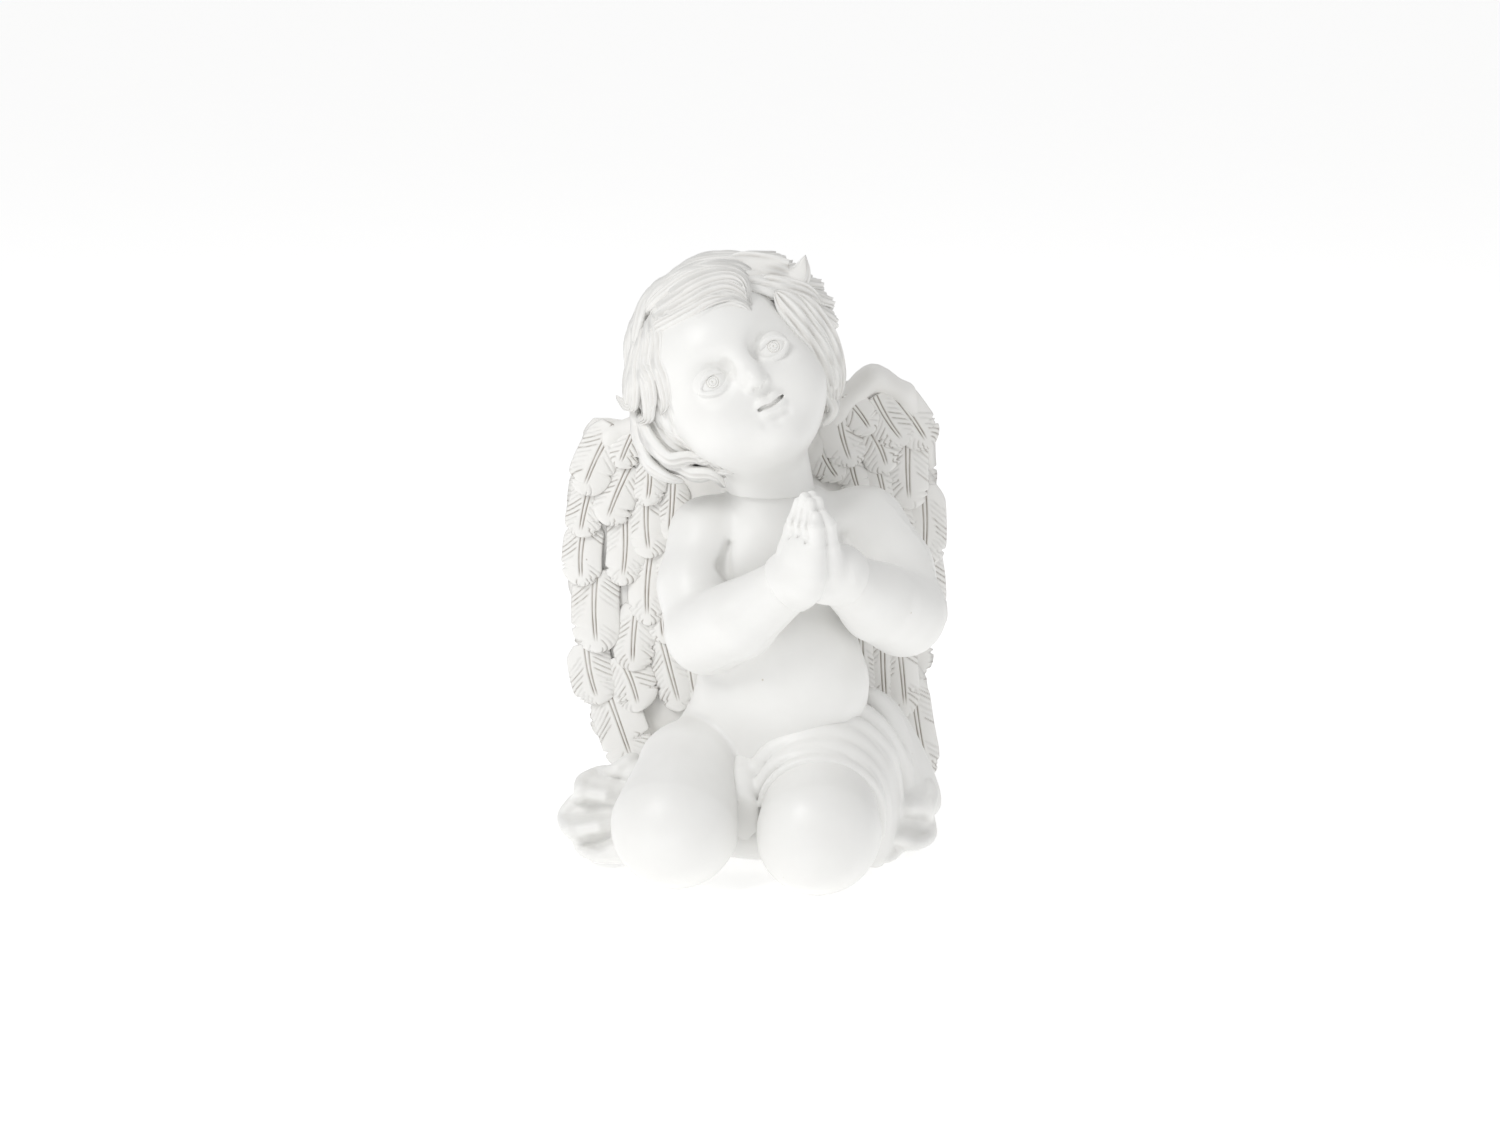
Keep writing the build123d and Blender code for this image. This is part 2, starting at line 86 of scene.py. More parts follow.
class Clay:
    """A block of evenly spaced points, each with its distance to the surface, negative inside."""

    def __init__(self, low, high, step):
        self.low, self.step = np.array(low, float), step
        count = np.ceil((np.array(high) - self.low) / step).astype(int) + 1
        self.depth = np.full(count, EMPTY, np.float32)

    def region(self, low, high):
        """The part of the block inside a box, and its x, y and z, ready to be combined."""
        first = np.floor((np.array(low) - self.low) / self.step).astype(int)
        last = np.ceil((np.array(high) - self.low) / self.step).astype(int) + 1
        first = np.clip(first, 0, np.array(self.depth.shape) - 1)
        last = np.clip(last, first + 1, self.depth.shape)
        part = tuple(slice(a, b) for a, b in zip(first, last))
        x, y, z = (
            (self.low[n] + self.step * np.arange(first[n], last[n])).astype(np.float32)
            for n in range(3)
        )
        return part, (x[:, None, None], y[None, :, None], z[None, None, :])

    def join(self, part, distance, blend, carve):
        """Adds or cuts: the smaller distance, less blend/4 times how nearly equal, squared."""
        old = -self.depth[part] if carve else self.depth[part]
        near = np.maximum(blend - np.abs(old - distance), 0) / blend
        new = np.minimum(old, distance) - near * near * blend / 4
        self.depth[part] = -new if carve else new

    def ball(self, centre, radii, blend=3.0, turn=None, carve=False):
        """An ellipsoid: how far |p/r| is from one, divided by how fast it grows there."""
        centre, radii = np.array(centre, float), np.array(radii, float) * np.ones(3)
        turn = np.eye(3) if turn is None else np.array(turn, float)
        reach = (np.abs(turn.T) @ radii) + blend + 2 * self.step
        part, (x, y, z) = self.region(centre - reach, centre + reach)
        x, y, z = x - centre[0], y - centre[1], z - centre[2]
        local = [turn[n, 0] * x + turn[n, 1] * y + turn[n, 2] * z for n in range(3)]
        size = np.sqrt(sum((v / r) ** 2 for v, r in zip(local, radii))) + 1e-6
        growth = np.sqrt(sum((v / r**2) ** 2 for v, r in zip(local, radii))) + 1e-6
        self.join(part, size * (size - 1) / growth, blend, carve)

    def limb(self, points, radii, blend=3.0, carve=False):
        """Tapered rolls from point to point: the distance to each line less its radius there."""
        points = [np.array(p, float) for p in points]
        radii = list(radii) if np.ndim(radii) else [radii] * len(points)
        for a, b, ra, rb in zip(points, points[1:], radii, radii[1:]):
            reach = max(ra, rb) + blend + 2 * self.step
            part, (x, y, z) = self.region(np.minimum(a, b) - reach, np.maximum(a, b) + reach)
            x, y, z, along = x - a[0], y - a[1], z - a[2], b - a
            share = np.clip((x * along[0] + y * along[1] + z * along[2]) / (along @ along), 0, 1)
            away = sum((v - share * w) ** 2 for v, w in zip((x, y, z), along))
            self.join(part, np.sqrt(away) - (ra + (rb - ra) * share), blend, carve)

    def cut(self, point, outward, blend=0.6):
        """Takes away all that lies beyond a plane."""
        part, xyz = self.region(self.low, self.low + self.step * np.array(self.depth.shape))
        beyond = sum(n * (v - p) for n, v, p in zip(outward, xyz, point))
        self.join(part, -beyond + 0 * self.depth, blend, True)

    def sample(self, at):
        """The distance and its slope at any points, mixed from the eight points round each."""
        grid = (at - self.low) / self.step
        cell = np.clip(np.floor(grid).astype(int), 0, np.array(self.depth.shape) - 2)
        share = grid - cell
        i, j, k = cell.T
        value, slope = np.zeros(len(at)), np.zeros((len(at), 3))
        for a in (0, 1):
            for b in (0, 1):
                for c in (0, 1):
                    here = self.depth[i + a, j + b, k + c]
                    wx, wy, wz = (
                        share[:, n] if bit else 1 - share[:, n] for n, bit in enumerate((a, b, c))
                    )
                    value += here * wx * wy * wz
                    slope[:, 0] += here * (2 * a - 1) * wy * wz
                    slope[:, 1] += here * (2 * b - 1) * wx * wz
                    slope[:, 2] += here * (2 * c - 1) * wx * wy
        return value, slope / self.step

    def skin(self):
        """The surface: one point in each cell that it crosses, and a four-sided face for each
        grid edge that it crosses. Each point is then slid down the slope onto the surface."""
        inside = self.depth < 0
        cells = tuple(n - 1 for n in inside.shape)
        window = lambda a, b, c: tuple(slice(o, o + n) for o, n in zip((a, b, c), cells))
        corners = [(a, b, c) for a in (0, 1) for b in (0, 1) for c in (0, 1)]
        filled = sum(inside[window(*corner)].astype(np.int8) for corner in corners)
        i, j, k = np.nonzero((filled > 0) & (filled < 8))
        number = np.full(cells, -1, np.int32)
        number[i, j, k] = np.arange(len(i))
        total, crossed = np.zeros((len(i), 3)), np.zeros(len(i))
        for axis in range(3):
            side = np.eye(3, dtype=int)[axis]
            for corner in corners:
                if corner[axis]:
                    continue
                a = self.depth[i + corner[0], j + corner[1], k + corner[2]].astype(float)
                far = np.array(corner) + side
                b = self.depth[i + far[0], j + far[1], k + far[2]].astype(float)
                hit = (a < 0) != (b < 0)
                share = np.where(hit, a / np.where(hit, a - b, 1), 0)
                total += hit[:, None] * (np.array(corner) + share[:, None] * side)
                crossed += hit
        at = self.low + self.step * (np.stack([i, j, k], 1) + total / crossed[:, None])
        faces = []
        for axis in range(3):
            side = np.eye(3, dtype=int)[axis]
            one, two = np.eye(3, dtype=int)[(axis + 1) % 3], np.eye(3, dtype=int)[(axis + 2) % 3]
            near = inside[tuple(slice(0, -1) if s else slice(1, -1) for s in side)]
            next_one = inside[tuple(slice(1, None) if s else slice(1, -1) for s in side)]
            for enters in (False, True):
                edge = (near != next_one) & (near == enters)
                start = np.stack(np.nonzero(edge), 1) + (1 - side)
                ring = [start - one - two, start - two, start, start - one]
                quad = np.stack([number[tuple(c.T)] for c in ring], 1)
                faces.append(quad if enters else quad[:, ::-1])
        for _ in range(3):
            value, slope = self.sample(at)
            slide = value[:, None] * slope / np.maximum((slope**2).sum(1), 0.2)[:, None]
            at = at - np.clip(slide, -self.step / 2, self.step / 2)
        return at, np.concatenate(faces)


# %% [markdown]
# ## Grids and carried profiles
# Feathers, locks of hair and eyelids are thin and crisp, which clay points would blur. Each of
# them is a grid of points, a function of two parameters, or a closed profile carried along a path.
# The helpers below make the faces of such grids and put any surface into a Blender mesh.


# %% Faces of a grid, smooth paths and new pieces
def grid_faces(rows, columns, round_columns=False):
    """Four-sided faces between neighbours; the last column meets the first if it goes round."""
    r, c = np.meshgrid(
        np.arange(rows - 1), np.arange(columns if round_columns else columns - 1), indexing="ij"
    )
    r, c = r.ravel(), c.ravel()
    after = (c + 1) % columns
    return np.stack(
        [r * columns + c, r * columns + after, (r + 1) * columns + after, (r + 1) * columns + c], 1
    )


def smooth_path(points, count):
    """A curve through the points: on each span the cubic that leaves along the line from the
    point before to the point after (Catmull and Rom's formula), sampled evenly in parameter."""
    points = np.array(points, float)
    ends = np.concatenate([[2 * points[0] - points[1]], points, [2 * points[-1] - points[-2]]])
    t = np.linspace(0, len(points) - 1, count)
    span = np.minimum(t.astype(int), len(points) - 2)
    t = (t - span)[:, None]
    a, b, c, d = (ends[span + n] for n in range(4))
    return b + 0.5 * t * (c - a + t * (2 * a - 5 * b + 4 * c - d + t * (3 * (b - c) + d - a)))


def unit(vectors):
    """The same directions at length one."""
    vectors = np.asarray(vectors, float)
    return vectors / np.maximum(np.linalg.norm(vectors, axis=-1, keepdims=True), 1e-9)


def bundle(surfaces):
    """Many surfaces as one: their points end to end, and their faces renumbered to match."""
    points, faces, marks, start = [], [], [], 0
    for at, quads, mark in surfaces:
        points.append(at)
        faces.append(quads + start)
        marks.append(np.broadcast_to(mark, len(at)))
        start += len(at)
    return np.concatenate(points), np.concatenate(faces), np.concatenate(marks)


pieces = {}


def new_piece(name, at, faces, slot, replaces, groove=None):
    """A mesh from millimetre points and four-sided faces, riding on the one rigid body."""
    mesh = bpy.data.meshes.new(name)
    mesh.vertices.add(len(at))
    mesh.vertices.foreach_set("co", (np.asarray(at) * MM).astype(np.float32).ravel())
    mesh.loops.add(faces.size)
    mesh.loops.foreach_set("vertex_index", faces.astype(np.int32).ravel())
    mesh.polygons.add(len(faces))
    mesh.polygons.foreach_set("loop_start", np.arange(0, faces.size, 4, dtype=np.int32))
    mesh.update(calc_edges=True)
    mesh.polygons.foreach_set("use_smooth", np.ones(len(faces), bool))
    if groove is not None:
        attribute = mesh.attributes.new("groove", "FLOAT", "POINT")
        attribute.data.foreach_set("value", np.asarray(groove, np.float32))
    mesh.validate()
    merged = bmesh.new()
    merged.from_mesh(mesh)
    bmesh.ops.remove_doubles(merged, verts=merged.verts, dist=0.002 * MM)
    merged.to_mesh(mesh)
    merged.free()
    piece = bpy.data.objects.new(name, mesh)
    bpy.context.scene.collection.objects.link(piece)
    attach(piece, "root")
    for node in replaces:
        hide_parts(node)
    pieces[name] = piece
    print(name, len(at), "points", len(faces), "faces")
    return piece


# %% [markdown]
# ## The camera, the lights and the table
# The camera comes first, so that each later step can be looked at. It looks a little down on
# the figure from the front, through a long lens, as for a shop catalogue.

# %% Camera
FIGURE_MIDDLE = Vector((-0.6, 0, 96.7)) * MM
CAMERA_AWAY = 1200 * MM
lens = bpy.data.cameras.new("catalogue_lens")
lens.lens, lens.sensor_width = 91.0, 36.0  # millimetres, of the camera itself
lens.clip_end = 20.0
camera = bpy.data.objects.new("catalogue_camera", lens)
bpy.context.scene.collection.objects.link(camera)
toward_viewer = Vector((0, -math.cos(EYE_LEVEL), math.sin(EYE_LEVEL)))
camera.location = FIGURE_MIDDLE + toward_viewer * CAMERA_AWAY
camera.rotation_euler = toward_viewer.to_track_quat("Z", "Y").to_euler()
bpy.context.scene.camera = camera
print("camera at", tuple(round(v, 3) for v in camera.location))

# %% Soft studio light and a pale floor
HALF_FLOOR = 6.0
WORLD_LIGHT = 0.60
SOFTBOXES = [  # where, how wide in metres, and how many watts
    ("key_softbox", (-0.75, -0.75, 0.95), 0.50, 5.4),
    ("fill_softbox", (0.9, -0.8, 0.35), 0.9, 0.3),
    ("top_softbox", (0.1, 0.5, 1.2), 0.9, 1.6),
]


def softbox(name, at, size, power):
    """A square lamp that faces the middle of the figure."""
    lamp = bpy.data.lights.new(name, "AREA")
    lamp.shape, lamp.size, lamp.energy = "SQUARE", size, power
    box = bpy.data.objects.new(name, lamp)
    box.location = at
    box.rotation_euler = (Vector(at) - FIGURE_MIDDLE).to_track_quat("Z", "Y").to_euler()
    bpy.context.scene.collection.objects.link(box)


for lamp_row in SOFTBOXES:
    softbox(*lamp_row)
world = bpy.data.worlds.new("white_studio")
world.use_nodes = True
world.node_tree.nodes["Background"].inputs["Color"].default_value = (1.0, 1.0, 1.0, 1.0)
world.node_tree.nodes["Background"].inputs["Strength"].default_value = WORLD_LIGHT
bpy.context.scene.world = world
bpy.context.scene.view_settings.view_transform = "Standard"

floor_mesh = bpy.data.meshes.new("studio_floor")
floor_mesh.from_pydata(
    [(x * HALF_FLOOR, y * HALF_FLOOR, 0) for x, y in ((-1, -1), (1, -1), (1, 1), (-1, 1))],
    [],
    [(0, 1, 2, 3)],
)
floor = bpy.data.objects.new("studio_floor", floor_mesh)
bpy.context.scene.collection.objects.link(floor)
floor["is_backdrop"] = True
print(len(SOFTBOXES), "softboxes over a floor", 2 * HALF_FLOOR, "m wide")

# %% [markdown]
# ## Shader sums
# Materials are written as sums: a socket is wrapped in a small class that turns + - * into
# Math nodes, so that a mask reads as one line.


# %% Sockets that can be added and multiplied
class Part:
    """A socket of a material that understands sums."""

    def __init__(self, tree, socket):
        self.tree, self.socket = tree, socket

    def math(self, operation, first, second=0.0):
        node = self.tree.nodes.new("ShaderNodeMath")
        node.operation = operation
        for place, item in enumerate((first, second)):
            if isinstance(item, Part):
                self.tree.links.new(item.socket, node.inputs[place])
            else:
                node.inputs[place].default_value = item
        return Part(self.tree, node.outputs[0])

    def __add__(self, other):
        return self.math("ADD", self, other)

    def __sub__(self, other):
        return self.math("SUBTRACT", self, other)

    def __rsub__(self, other):
        return self.math("SUBTRACT", other, self)

    def __mul__(self, other):
        return self.math("MULTIPLY", self, other)

    __radd__, __rmul__ = __add__, __mul__

    def held(self):
        """The value kept between nothing and one."""
        return self.math("MINIMUM", self.math("MAXIMUM", self, 0.0), 1.0)


class Finish:
    """A material being made: its one shader, and a method that adds any other node."""

    def __init__(self, name, **constants):
        self.material = bpy.data.materials.new(name)
        self.material.use_nodes = True
        self.tree = self.material.node_tree
        self.shader = self.tree.nodes["Principled BSDF"]
        for socket, value in constants.items():
            self.shader.inputs[socket.replace("_", " ")].default_value = value

    def node(self, kind, settings=None, output=0, **inputs):
        """A node of that type; settings are set first, then values or links of its sockets."""
        node = self.tree.nodes.new("ShaderNode" + kind)
        for key, value in (settings or {}).items():
            setattr(node, key, value)
        for name, value in inputs.items():
            place = int(name[1:]) if name[1:].isdigit() else name.replace("_", " ")
            if isinstance(value, Part):
                self.tree.links.new(value.socket, node.inputs[place])
            else:
                node.inputs[place].default_value = value
        return Part(self.tree, node.outputs[output])

    def feed(self, **inputs):
        """Links parts to the shader's own sockets."""
        for name, value in inputs.items():
            self.tree.links.new(value.socket, self.shader.inputs[name.replace("_", " ")])

    def noise(self, size_mm, detail=3.0, roughness=0.55):
        """Cloudy noise whose lumps are about that many millimetres across."""
        where = self.node("TexCoord", output=3)
        return self.node(
            "TexNoise", Vector=where, Scale=1 / (size_mm * MM), Detail=detail, Roughness=roughness
        )

    def mix(self, share, first, second):
        """Two colours mixed by a share."""
        return self.node(
            "Mix", {"data_type": "RGBA"}, output=2, i0=share, i6=first, i7=second
        )


print("shader sums are ready")

# %% [markdown]
# ## The resins
# Cast polyresin is filled with white stone dust and rubbed to a satin. It is never one flat
# white: the surface clouds slightly and keeps a few pinholes where bubbles burst. On the white
# resin the carved grooves of the hair, the scribed rings of the eyes and the pinholes are
# darkened with a warm painted shade. The wings got a thin tan wash that was wiped off again, and
# stays in the scribed lines.

# %% White satin resin and washed wing resin
SNOW = (0.88, 0.878, 0.862, 1.0)
CLOUD = (0.84, 0.835, 0.815, 1.0)
CREAM = (0.878, 0.872, 0.852, 1.0)
CREAM_SHADE = (0.845, 0.834, 0.808, 1.0)
# Warm painted shade for the grooves and pinholes of the white resin.
PAINTED_HOLLOW_SHADE = (0.60, 0.53, 0.44, 1.0)
WASH = (0.21, 0.165, 0.12, 1.0)
PINHOLE_APART = 7.5


def resin(name, light, shade, hollow_tint, wash_and_shade_share, rough, **constants):
    """Clouded resin whose grooves, from the groove attribute, take the hollow tint: the real wash on
    the wings, a warm painted shade on the white resin. A pinhole shows in the middle of a Voronoi
    cell where a second noise is high enough, and is darkened by the same tint."""
    finish = Finish(name, **constants)
    clouds = finish.noise(14)
    groove = finish.node("Attribute", {"attribute_name": "groove"}, output=2)
    patches = finish.noise(5, 2.0)
    # How much hollow tint each groove takes: painted shade on the white resin, the wash on the
    # wings.
    wash_and_shade = (groove * wash_and_shade_share * (0.45 + patches * 1.1)).held()
    where = finish.node("TexCoord", output=3)
    per_metre = 1 / (PINHOLE_APART * MM)
    cells = finish.node("TexVoronoi", {"feature": "F1"}, Vector=where, Scale=per_metre)
    chance = finish.noise(9, 1.0)
    pinhole = ((0.052 - cells) * 60).held() * ((chance - 0.55) * 30).held()
    colour = finish.mix((clouds * 1.6 - 0.3).held(), light, shade)
    colour = finish.mix(wash_and_shade, colour, hollow_tint)
    # Pinholes darkened by the hollow tint: painted shade on the white resin, wash held in them on
    # the wings.
    colour = finish.mix(pinhole * 0.6, colour, hollow_tint)
    grain = finish.noise(0.9, 4.0, 0.6)
    ripple = finish.noise(6, 2.0)
    height = grain * 0.10 + ripple * 0.55 - pinhole * 0.9
    bump = finish.node("Bump", Strength=0.35, Distance=0.4 * MM, Height=height)
    finish.feed(
        Base_Color=colour,
        Roughness=(rough + (clouds - 0.5) * 0.16 + groove * 0.18).held(),
        Normal=bump,
    )
    return finish.material


# The white resin's hollow tint is a warm painted shade in its grooves and pinholes.
white_resin = resin(
    "satin_white_resin", SNOW, CLOUD, PAINTED_HOLLOW_SHADE, 0.16, 0.42, Coat_Weight=0.07, Coat_Roughness=0.34
)
wing_resin = resin("washed_wing_resin", CREAM, CREAM_SHADE, WASH, 0.9, 0.52)
print("made", white_resin.name, "and", wing_resin.name)

# %% [markdown]
# ## The body
# The body is one hollow casting: a soft belly and chest, short arms bent up in front, and thighs
# that end in round knees. The parting line of the mould left a fine raised seam down the outside
# of the left arm and under the right forearm. All of it is pressed together from balls and limbs,
# with wide soft joins where fat meets fat, and narrow ones where a crease belongs.

# %% Press the body together
NECK_JOINT = 120.0
BODY_STEP = 0.95
body = Clay((-50, -60, -3), (66, 60, 124), BODY_STEP)
body.ball((8, 4, 36), (33, 24, 24))
body.ball((9, -4, 60), (26, 21, 25), 12)
body.ball((10, 2, 90), (25, 16, 24), 12)
body.ball((14, -10.5, 60), (22, 17, 17), 7)
body.ball((11, -12, 75), (18, 14, 14), 9)
body.limb([(-11, 3, 104), (34, 4, 106)], [12, 12.5], 9)
body.limb([(7, 2, 100), (7, 3, 126)], [15, 13.2], 7)
body.ball((-1, -8, 97), (9, 7, 8), 7)
body.ball((21, -9, 98), (9, 7, 8), 7)

RIGHT_ARM = [(-14, 2, 105), (-17.5, -8, 91), (-16, -19, 79)]
LEFT_ARM = [(36, 4, 107.5), (44.5, -2, 95), (48.5, -9, 83)]
body.limb(RIGHT_ARM, [12.5, 11.6, 11.2], 4)
body.limb(LEFT_ARM, [13, 12.2, 12], 4)
RIGHT_WRIST, LEFT_WRIST = np.array((10.5, -38, 97.5)), np.array((28.0, -37.5, 99.5))
RIGHT_CUFF, LEFT_CUFF = unit((14.5, -8, 12.5)), unit((-11, -12.5, 10))
WRIST_THICK = 9.2
for stops, thick in (
    ([(-14, -21, 78.5), (-4, -30, 85), RIGHT_WRIST - 3 * RIGHT_CUFF], [13, 12.2, WRIST_THICK]),
    ([(47.5, -11, 82.5), (39, -25, 89.5), LEFT_WRIST - 3 * LEFT_CUFF], [13.6, 12.4, WRIST_THICK]),
):
    body.limb(stops, thick, 1.6)

body.limb([(-14, -1, 38.5), (-20, -16, 33), (-24, -35, 20.5)], [11.5, 15.8, 20], 1.6)
body.limb([(22, 4, 38), (22, -16, 31), (21, -36.0, 19.5)], [14, 16, 19.5], 3)
body.ball((19.5, -40, 14), (15.5, 15, 13), 5)
for knee, foot in (((-24, -28, 13), (-13, 34, 10)), ((21, -28, 13), (23, 34, 10))):
    body.limb([knee, ((knee[0] + foot[0]) / 2, 6, 13), foot], [12, 12, 8], 4)
SHOULDER_BLADES = ((-7, 13, 96), (27, 13, 98))
for blade in SHOULDER_BLADES:
    body.ball(blade, (9, 5, 12), 8)
body.ball((3, 4, 13), (30, 27, 13), 5)
body.ball((9, 12, 24), (24, 17, 22), 8)
body.limb([(9, 25, 34), (9, 21.5, 56), (9.5, 20, 84)], [1.8, 1.2, 1.0], 6, carve=True)
print("the block of clay holds", body.depth.size, "points")

# %% Feet with their soles up, creases, and the flat underside
TOES = 5
for side, ankle in ((-1, (-13, 36, 10)), (1, (23, 36, 10))):
    body.ball((ankle[0], ankle[1] + 3, 10), (7, 8, 7), 3)
    body.limb([ankle, (ankle[0] - side, 49, 11)], [7, 6.4], 3)
    for n in range(TOES):
        across = ankle[0] - side + side * (n - 2) * 2.7
        body.ball((across, 53.3 - 0.35 * (n - 1) ** 2, 10), (1.9 - 0.12 * n, 2.5, 3.2), 0.8)
CREASES = [  # before each armpit, then inside each elbow: stops, radii, softness
    ([(-6, -15, 89), (-9, -14, 98), (-7, -10, 105)], [0.8, 1.3, 0.6], 3),
    ([(29, -15, 94), (31, -13, 101), (29, -9, 107)], [0.8, 1.3, 0.6], 3),
    ([(-25, -18, 86), (-16, -27, 89), (-8, -22, 93)], [0.5, 0.9, 0.4], 1.4),
    ([(56, -10, 90), (49, -20, 94), (38, -22, 100)], [0.4, 0.8, 0.5], 1.4),
]
for crease in CREASES:
    body.limb(*crease, carve=True)
seam = smooth_path(
    [(42, -3, 118), (50.5, -4.5, 108), (57, -8, 97), (61, -11, 88), (62.4, -12, 80)], 14
)
under_seam = smooth_path([(-15, -27, 68), (-6, -34, 74), (3, -38, 81), (9, -40, 88)], 12)
SEAM_THICK = 0.45
for path in (seam, under_seam):
    for start, end in zip(path, path[1:]):
        value, slope = body.sample(np.array([start, end]))
        foot_points = np.array([start, end]) - value[:, None] * slope
        body.limb(list(foot_points), SEAM_THICK, 0.7)
print(len(CREASES), "creases cut")

# %% Skin the body
PLUG_GAP = 0.1
PLUG_LOW, PLUG_HIGH = (np.array(corner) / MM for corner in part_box("base_plug"))
plug_middle, plug_radius = (PLUG_LOW + PLUG_HIGH) / 2, (PLUG_HIGH - PLUG_LOW)[0] / 2
part, (x, y, z) = body.region(body.low, body.low + body.step * np.array(body.depth.shape))
well = np.sqrt((x - plug_middle[0]) ** 2 + (y - plug_middle[1]) ** 2) - plug_radius - PLUG_GAP
body.join(part, np.maximum(well, z - PLUG_HIGH[2]), 0.3, True)
body.join(part, z + 0 * x + 0 * y, 0.5, True)
body.cut((0, 0, NECK_JOINT + 0.4), (0, 0, 1))
body_at, body_faces = body.skin()
new_piece("cherub_body", body_at, body_faces, "white_resin", ["body_casting"])

# %% [markdown]
# ## The head
# The head is its own casting, glued on at the neck. It leans to the cherub's right, turns a little
# to the left and looks up. It is easiest to press together upright, looking straight ahead, and
# to turn the finished skin afterwards. The face is a plain putto's: full cheeks, a button nose and
# a small smile. The block is finer than the body's, because lips and lids are small.


# %% How the head sits
def turned(axis, degrees):
    """The rotation about one axis as a 3 by 3 table."""
    return np.array(Matrix.Rotation(math.radians(degrees), 3, axis))


HEAD_AT = np.array((-7, -6, 158))
HEAD_TURN = turned("Y", -28) @ turned("Z", 18) @ turned("X", -9)


def to_head(points):
    """Points of the figure as the upright head sees them."""
    return (np.asarray(points, float) - HEAD_AT) @ HEAD_TURN


def from_head(points):
    """Points of the upright head where they are on the figure."""
    return np.asarray(points, float) @ HEAD_TURN.T + HEAD_AT


print("the face looks along", np.round(HEAD_TURN @ (0, -1, 0), 2))

# %% Press the face together
EYE = np.array((10.7, -16.4, -0.2))
EYE_RADIUS = 6.8
LID_HALF = 49  # degrees from the middle of the eye to a corner


def on_eye(side, across, up, radius):
    """Points at degrees outwards and up on a sphere round an eye's middle."""
    across, up = np.radians(across), np.radians(up) + 0 * np.radians(across)
    out = np.stack(
        [side * np.sin(across) * np.cos(up), -np.cos(across) * np.cos(up), np.sin(up)], 1
    )
    return EYE * (side, 1, 1) + radius * out


FACE_STEP = 0.52
face = Clay((-29, -33, -47), (29, 34, 34), FACE_STEP)
face.ball((0.5, 4, 5), (25.5, 26.5, 25.5))
face.ball((0, -3.5, -6), (23.5, 20.8, 25), 7)
face.ball((0, -5.5, 9), (19.5, 18.8, 17), 8)
face.ball((0, -16.5, -23.2), (8.2, 7.6, 6.8), 7)
face.ball((0, -8, -23), (15, 13, 9.5), 6)
face.ball((0.6, -17.2, -14.6), (9.6, 5.1, 6.6), 4)
for side in (-1, 1):
    face.ball((side * 12.2, -11.5, -12.5), (10.2, 11.4, 10.8), 8)
    face.ball((side * 11.0, -24.6, 1.6), (6.8, 3.1, 4.8), 6, carve=True)
    face.ball((side * 24.5, 2, -3), (2.5, 5, 7), 3)
face.limb([(0, -20.8, 5), (0, -23.2, -1), (0, -25.9, -5.4)], [2.6, 2.1, 2.4], 3.5)
face.ball((0, -26.0, -6.0), (2.6, 2.5, 2.3), 1.4)
neck_bottom = to_head((7, 3, NECK_JOINT - 4))
face.limb([(0, -1, -14), neck_bottom], [14.5, 13.4], 6)
for side in (-1, 1):
    face.ball((side * 2.8, -24.3, -7.0), (1.6, 2.0, 1.6), 1.0)
    face.ball((side * 1.5, -26.0, -8.3), (0.75, 1.0, 0.8), 0.4, carve=True)
    across = np.linspace(-LID_HALF, LID_HALF, 15)
    arch = 1 - (across / LID_HALF) ** 2
    face.limb(on_eye(side, across, -4 + 31 * arch**0.8, 6.9), 0.75, 0.7)
    face.limb(on_eye(side, across, -4 - 21 * arch, 6.85), 0.5, 1.0)
    face.limb(on_eye(side, across * 1.05, 3 + 41 * arch**0.8, 7.8), 0.5, 0.7, carve=True)
    face.ball((side * 4.9, -22.9, 1.2), (1.6, 1.7, 2.6), 2.0, carve=True)

# %% Lips, philtrum and the crease over the chin
MOUTH_SHIFT = np.array((0.8, 0.0, 0.2))
upper_lip = MOUTH_SHIFT + [(-5.7, -22.3, -14.1), (-2.5, -24.1, -12.9), (0, -24.1, -13.6),
    (2.5, -24.1, -12.9), (5.7, -22.3, -13.7)]
lower_lip = MOUTH_SHIFT + [(-4.4, -22.7, -15.9), (-1.8, -23.7, -16.9), (1.8, -23.7, -16.9),
    (4.4, -22.7, -15.7)]
gap = MOUTH_SHIFT + [(-5.9, -22.5, -14.5), (-3, -24.1, -14.6), (0, -24.5, -15.0),
    (3, -24.1, -14.6), (5.9, -22.5, -14.1)]
face.limb(smooth_path(upper_lip, 13), [0.5] + [1.15] * 11 + [0.5], 1.0)
face.limb(smooth_path(lower_lip, 11), [0.7] + [1.3] * 9 + [0.7], 1.2)
face.limb(smooth_path(gap, 15), [0.35] + [0.68] * 13 + [0.35], 0.3, carve=True)
for side in (-1, 1):
    face.ball((side * 6.6, -22.6, -13.9), (0.6, 0.9, 0.6), 1.2, carve=True)
face.limb([(0, -27.2, -9.8), (0, -27.0, -11.9)], 0.6, 1.2, carve=True)
face.limb([(-4, -24.6, -19.2), (0, -25.4, -19.6), (4, -24.6, -19.2)],
    [0.4, 0.9, 0.4], 2.2, carve=True)
joint_point, joint_normal = to_head((7, 3, NECK_JOINT - 0.4)), HEAD_TURN.T @ (0, 0, -1)
face.cut(joint_point, joint_normal)
face_at, face_faces = face.skin()
new_piece("cherub_face", from_head(face_at), face_faces, "white_resin", ["head_casting"])

# %% [markdown]
# ## The eyes
# The eyeballs are smooth, with the iris and the pupil scribed into them as two rings and a dot.
# Each is a cap of a sphere on a grid: rings run out from the pupil, and the depth of the scribing
# depends only on how far out a ring is.

# %% Scribed eyeballs
IRIS = 1.95
PUPIL = 0.6
SCRIBED_DEEP = 0.36


